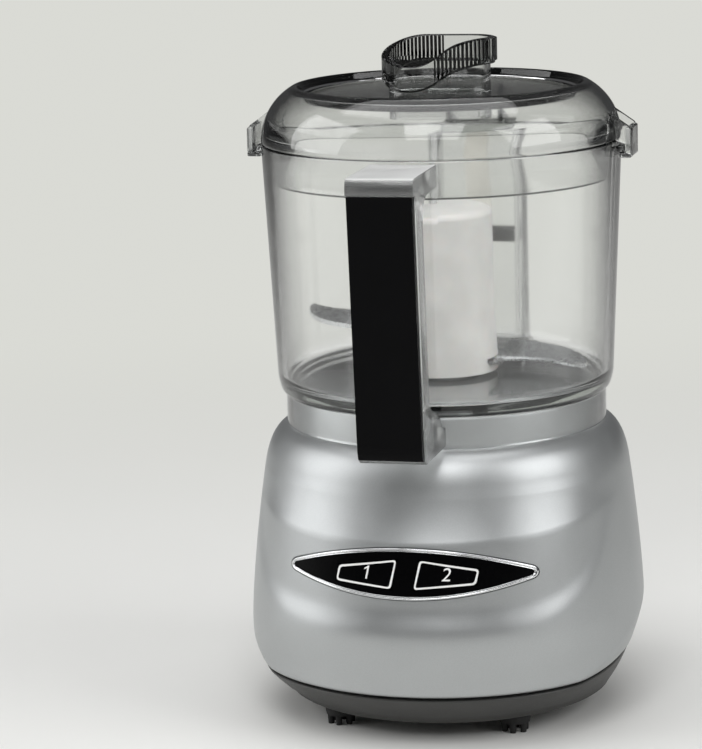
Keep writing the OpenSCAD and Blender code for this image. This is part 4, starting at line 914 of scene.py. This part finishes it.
class CHOPPER_OT_lid(bpy.types.Operator):
    """Clear lid with its side lugs, rear cam lug and the opening for the ring"""

    bl_idname = "chopper.lid"
    bl_label = "Lid"

    def execute(self, context):
        def arc(wall, start, end, steps):
            turns = [math.radians(start + (end - start) * k / steps) for k in range(steps + 1)]
            r = LID_ROUND - wall
            return [(RIM_R - LID_ROUND + r * math.cos(t), LID_Z + r * math.sin(t)) for t in turns]

        below = PLATE_Z - LID_WALL
        profile = [(FLANGE_IN, FLANGE_Z, 0.5), (FLANGE_OUT, FLANGE_Z, 0.5)]
        profile += [(FLANGE_OUT, LID_Z, 0.3), (RIM_R, LID_Z, 0.4)]
        profile += arc(0, 3, 60, 14)
        profile += [(49.6, LID_TOP, 0.8), (48.4, LID_TOP, 0.5), (47.4, PLATE_Z, 0.9), (PLATE_IN, PLATE_Z)]
        profile += [(PLATE_IN, below), (45, below, 0.8), (46.2, LID_TOP - 2.3, 0.5)]
        profile += arc(LID_WALL, 60, 22, 9)
        profile += [(57.6, LID_Z + 3.6), (56.6, LID_Z + 0.4), (55.8, LID_Z - 3), (55.3, LID_Z - 6.5)]
        shell = loose(lathe(profile, steps=192, bends=3), "lid_skin")
        turns = [math.radians(t) for t in range(0, 360, 3)]
        plate = slab([(PLATE_R * math.cos(t), PLATE_R * math.sin(t)) for t in turns], below, PLATE_Z)
        parts = [loose(plate, "plate_part"), self.rear_lug()]
        for bearing in (0, 180):
            parts += self.side_lug(bearing)
        joined(shell, parts, "UNION")
        neck = slab(stadium(1.45), PLATE_Z - 10, PLATE_Z + 10)
        joined(shell, [loose(neck, "neck_cut")], "DIFFERENCE")
        piece(shell, "lid", "clear_lid", ["lid"], sharp=35)
        shell.data.materials.append(FINISHES["clear_painted_shade"])
        shell.data.materials.append(FINISHES["clear_ring"])
        # Painted shade: the top rim band and the flange's lower edge take the dark clear finish, the rear lug
        # the ring's finish whose edges darken more
        for face in shell.data.polygons:
            x, y, z = face.center / MM
            rim = z > PLATE_Z + 0.1 and SHADED_RIM_IN < math.hypot(x, y) < SHADED_RIM_OUT
            face.material_index = 2 if y > LUG_START else int(rim or z < FLANGE_Z + 0.5)
        return {"FINISHED"}

    def side_lug(self, bearing):
        turn = Matrix.Rotation(math.radians(bearing), 4, "Z") @ UPRIGHT
        hook = [(61.7, 189), (66, 189, 0.6), (66, 199, 0.8), (64, 199, 0.5), (64, 190.6), (61.7, 190.6)]
        web = [(59.8, 195.3), (65.4, 193), (65.4, 199.4, 0.8), (57.6, 204.8, 0.8)]
        made = [loose(slab(hook, -8, 8, turn, bevel=0.5), "lug_part")]
        for middle in (-6.6, 6.6):
            made.append(loose(slab(web, middle - 0.9, middle + 0.9, turn, bevel=0.25), "web_part"))
        return made

    def rear_lug(self):
        bar = [(-13.5, 189.1, 0.5), (0, 189.1), (13.5, 190.8, 0.5), (13.5, 194.1, 0.6), (-13.5, 194.1, 0.6)]
        web = [(59.4, 195.2), (63, 195.2), (63, 192.1), (71.4, 192.1), (71.4, 195.1, 0.8), (57.8, 203.8, 0.8)]
        lug = loose(slab(bar, -71.9, -62, UPRIGHT, bevel=0.4), "rear_part")
        webs = [loose(slab(web, s - 1, s + 1, ON_EDGE, bevel=0.3), "web_part") for s in (-9.5, 9.5)]
        return joined(lug, webs, "UNION")


def stadium(inset, steps=72):
    """Outline of the ring's long oval, drawn in by inset."""
    half, r = (RING_L - RING_W) / 2, RING_W / 2 - inset
    made = []
    for k in range(steps):
        t = math.radians(k * 360 / steps)
        made.append((math.copysign(half, math.cos(t)) + r * math.cos(t), r * math.sin(t)))
    return made


def stadium_at(way, inset):
    """Point of the ring's oval after way mm along its outer line, from the front of its right end."""
    half, bend = (RING_L - RING_W) / 2, math.pi * RING_W / 2
    r, lap = RING_W / 2 - inset, bend + 2 * half
    turned = way % (2 * lap) >= lap
    way %= lap
    if way < bend:
        t = way / bend * math.pi - math.pi / 2
        x, y = half + r * math.cos(t), r * math.sin(t)
    else:
        x, y = half - (way - bend), r
    return (-x, -y) if turned else (x, y)


class CHOPPER_OT_ring(bpy.types.Operator):
    """Ribbed finger ring that climbs from its low front corner, on a plain neck"""

    bl_idname = "chopper.ring"
    bl_label = "Finger ring"

    def execute(self, context):
        top, wall = RING_BAND, RING_WALL
        rows = [
            (0.2, 0), (0, 0.2), (0, 0.9), (0, 1.0), (0, top - 0.4), (0.35, top), (wall - 0.35, top),
            (wall, top - 0.4), (wall, 0.3), (wall - 0.3, 0),
        ]
        bend = math.pi * RING_W / 2
        lap = bend + RING_L - RING_W

        def place(row, bearing):
            inset, up = row
            way = bearing / 180 * lap
            x, y = stadium_at(way, inset)
            low = self.foot(x, y)
            at_end = way % lap < RIB_REACH * bend or way % lap > lap - RIB_LEAD
            outside = inset < 0.3 and 0.95 < up < top - 0.2
            if at_end and outside and round(bearing * RING_STEPS / 360) % RIB_PITCH < RIB_WIDTH:
                x, y = stadium_at(way, inset - RIB_DEPTH)
            return (x, y, low + up)

        band = loose(wrap(rows, RING_STEPS, place), "ring_skin")
        neck = loose(slab(stadium(1.6), PLATE_Z - 8, PLATE_Z + RING_RISE + 2), "neck_part")
        bore = loose(slab(stadium(3.4), PLATE_Z - 12, PLATE_Z + 30), "bore_cut")
        joined(neck, [bore], "DIFFERENCE")
        joined(band, [neck], "UNION")
        piece(band, "lid", "clear_ring", ["lid_grip"], sharp=30)
        band.data.materials.append(FINISHES["clear_painted_shade"])
        # Painted shade: the band's top and bottom edges and its raised ribs take the dark clear finish, for
        # the dark that edge-on walls refract
        for face in band.data.polygons:
            x, y, z = face.center / MM
            out = math.hypot(max(0, abs(x) - (RING_L - RING_W) / 2), y) - RING_W / 2
            up = z - self.foot(x, y)
            edge = up > top - 0.35 or (-0.1 < up < 0.92 and out > -1.5)
            face.material_index = int(edge or out > 0.5)
        return {"FINISHED"}

    def foot(self, x, y):
        """Height of the band's lower edge, which is lowest at the ring's front left."""
        off = abs((math.degrees(math.atan2(y, x)) - RING_LOW + 540) % 360 - 180)
        drop = math.cos(math.radians(min(90, 90 * off / RING_CLIMB))) ** 2
        return PLATE_Z + 0.2 + RING_RISE * (1 - drop)


class CHOPPER_OT_cutter(bpy.types.Operator):
    """Hub and curved blades"""

    bl_idname = "chopper.cutter"
    bl_label = "Cutter"

    def execute(self, context):
        for node in ("lower_blade", "upper_blade"):
            crisp_copy(node)
        for node in ("blade_hub", "drive_shaft"):
            for v in crisp_copy(node).data.vertices:
                if v.co.z > HUB_NECK * MM:
                    v.co.z = HUB_NECK * MM + (v.co.z - HUB_NECK * MM) * HUB_CROWN
        return {"FINISHED"}


class CHOPPER_OT_works(bpy.types.Operator):
    """Interlock, motor, gears and switches: the solids with their finishes"""

    bl_idname = "chopper.works"
    bl_label = "Inner works"

    def execute(self, context):
        rod = crisp_copy("interlock_rod")
        rod.data.materials[0] = FINISHES["nylon"]
        rod.data.materials.append(FINISHES["dark_shell"])
        bar = {v.index for v in rod.data.vertices if BAR_Z - 0.1 < v.co.z / MM < BAR_Z + BAR_H + 0.1}
        for face in rod.data.polygons:
            face.material_index = int(bar.issuperset(face.vertices))
        half = max(rod.data.vertices[i].co.x for i in bar)
        for i in bar:
            place = rod.data.vertices[i].co
            place.x *= BAR_HALF * MM / half
            place.z = (BAR_Z - BAR_DROP) * MM + (place.z - BAR_Z * MM) * BAR_THIN
        for name, node in NODES.items():
            if not node.hide_render:
                crisp_copy(name)
        return {"FINISHED"}


def sums(tree, operation, first, second):
    """A maths node; each input is a socket or a plain number."""
    node = add_node(tree, "Math")
    node.operation = operation
    for place, value in zip(node.inputs, (first, second)):
        if isinstance(value, float):
            place.default_value = value
        else:
            tree.links.new(value, place)
    return node.outputs["Value"]


def backdrop(tree, plain, kind, far=1.0):
    """Mixes the pale backdrop in by far, for the camera and straight through clear pieces."""
    path = add_node(tree, "LightPath").outputs
    seen = sums(tree, "MAXIMUM", path["Is Camera Ray"], path["Is Transmission Ray"])
    bounced = sums(tree, "ADD", path["Diffuse Depth"], path["Glossy Depth"])
    straight = sums(tree, "MULTIPLY", seen, sums(tree, "LESS_THAN", bounced, 0.5))
    pale = add_node(tree, kind, Color=(*BACKDROP, 1.0))
    mix = add_node(tree, "MixShader")
    end = next(n for n in tree.nodes if n.bl_idname.startswith("ShaderNodeOutput"))
    tree.links.new(sums(tree, "MULTIPLY", straight, far), mix.inputs[0])
    tree.links.new(plain, mix.inputs[1])
    tree.links.new(pale.outputs[0], mix.inputs[2])
    tree.links.new(mix.outputs[0], end.inputs["Surface"])


class CHOPPER_OT_stage(bpy.types.Operator):
    """Pale ground, soft lamps, backdrop and camera"""

    bl_idname = "chopper.stage"
    bl_label = "Stage"

    def execute(self, context):
        scene = context.scene
        scene.view_settings.view_transform = "Standard"
        self.ground(scene.chopper_colours.floor)
        for name, place, size, power in LAMPS:
            lamp = bpy.data.lights.new(name, "AREA")
            lamp.energy, lamp.size = power, size
            obj = bpy.data.objects.new(name, lamp)
            obj.location = place
            obj.rotation_euler = (Vector(LAMP_AIM) - Vector(place)).to_track_quat("-Z", "Y").to_euler()
            scene.collection.objects.link(obj)
        world = scene.world or bpy.data.worlds.new("studio")
        scene.world = world
        world.use_nodes = True
        light = world.node_tree.nodes["Background"]
        fill_sockets(light, {"Color": (*WORLD_COLOUR, 1), "Strength": WORLD_STRENGTH})
        backdrop(world.node_tree, light.outputs["Background"], "Background")
        self.camera(scene)
        return {"FINISHED"}

    def ground(self, colour):
        """Disc that fades into the backdrop away from the chopper."""
        bm = bmesh.new()
        bmesh.ops.create_circle(bm, cap_ends=True, segments=96, radius=GROUND_R)
        floor = loose(bm, "ground")
        mat, tree, shader = finish_nodes("pale_ground", colour, Roughness=0.7)
        vary_roughness(tree, shader, object_noise(tree, 8, 2.0), 0.65, 0.75)
        coords = add_node(tree, "TexCoord")
        reach = add_node(tree, "VectorMath")
        reach.operation = "LENGTH"
        fade = add_node(tree, "MapRange", From_Min=FADE_START, From_Max=FADE_END)
        fade.interpolation_type = "SMOOTHSTEP"
        tree.links.new(coords.outputs["Object"], reach.inputs[0])
        tree.links.new(reach.outputs["Value"], fade.inputs["Value"])
        backdrop(tree, shader.outputs["BSDF"], "Emission", fade.outputs["Result"])
        floor.data.materials.append(mat)

    def camera(self, scene):
        turn, pitch, roll = (math.radians(angle) for angle in (VIEW_TURN, VIEW_PITCH, VIEW_ROLL))
        side = Vector((math.cos(turn), math.sin(turn), 0))
        ahead = Vector((-math.sin(turn), math.cos(turn), 0))
        look = ahead * math.cos(pitch) - Vector((0, 0, math.sin(pitch)))
        up = ahead * math.sin(pitch) + Vector((0, 0, math.cos(pitch)))
        right = side * math.cos(roll) + up * math.sin(roll)
        upright = up * math.cos(roll) - side * math.sin(roll)
        data = bpy.data.cameras.new("photo_view")
        data.sensor_width, data.lens = SENSOR_MM, SENSOR_MM * FOCAL_PX / PHOTO_H_PX
        data.clip_start, data.clip_end = 0.05, 20
        camera = bpy.data.objects.new("photo_view", data)
        spot = side * VIEW_SIDE - ahead * VIEW_BACK + Vector((0, 0, VIEW_UP))
        turned = Matrix((right, upright, -look)).transposed().to_4x4()
        camera.matrix_world = Matrix.Translation(spot) @ turned
        scene.collection.objects.link(camera)
        scene.camera = camera


class CHOPPER_PT_pieces(bpy.types.Panel):
    """Lists the pieces of the chopper and the sizes and colours that shape them"""

    bl_label = "Mini Food Chopper"
    bl_idname = "CHOPPER_PT_pieces"
    bl_space_type = "VIEW_3D"
    bl_region_type = "UI"
    bl_category = "Chopper"

    def draw(self, context):
        for group in (context.scene.chopper_sizes, context.scene.chopper_colours):
            box = self.layout.box()
            for name in group.__annotations__:
                box.prop(group, name)
        for operator in OPERATORS:
            self.layout.operator(operator.bl_idname)


OPERATORS = (
    CHOPPER_OT_stage, CHOPPER_OT_housing, CHOPPER_OT_stand, CHOPPER_OT_panel, CHOPPER_OT_bowl,
    CHOPPER_OT_grip, CHOPPER_OT_lid, CHOPPER_OT_ring, CHOPPER_OT_cutter, CHOPPER_OT_works,
)
CLASSES = (ChopperSizes, ChopperColours, *OPERATORS, CHOPPER_PT_pieces)


def register():
    for cls in CLASSES:
        bpy.utils.register_class(cls)
    bpy.types.Scene.chopper_sizes = PointerProperty(type=ChopperSizes)
    bpy.types.Scene.chopper_colours = PointerProperty(type=ChopperColours)


def unregister():
    del bpy.types.Scene.chopper_colours
    del bpy.types.Scene.chopper_sizes
    for cls in reversed(CLASSES):
        bpy.utils.unregister_class(cls)


def main():
    register()
    FINISHES.update(make_finishes(bpy.context.scene.chopper_colours))
    for operator in OPERATORS:
        area, name = operator.bl_idname.split(".")
        getattr(getattr(bpy.ops, area), name)()


if __name__ == "__main__":
    main()
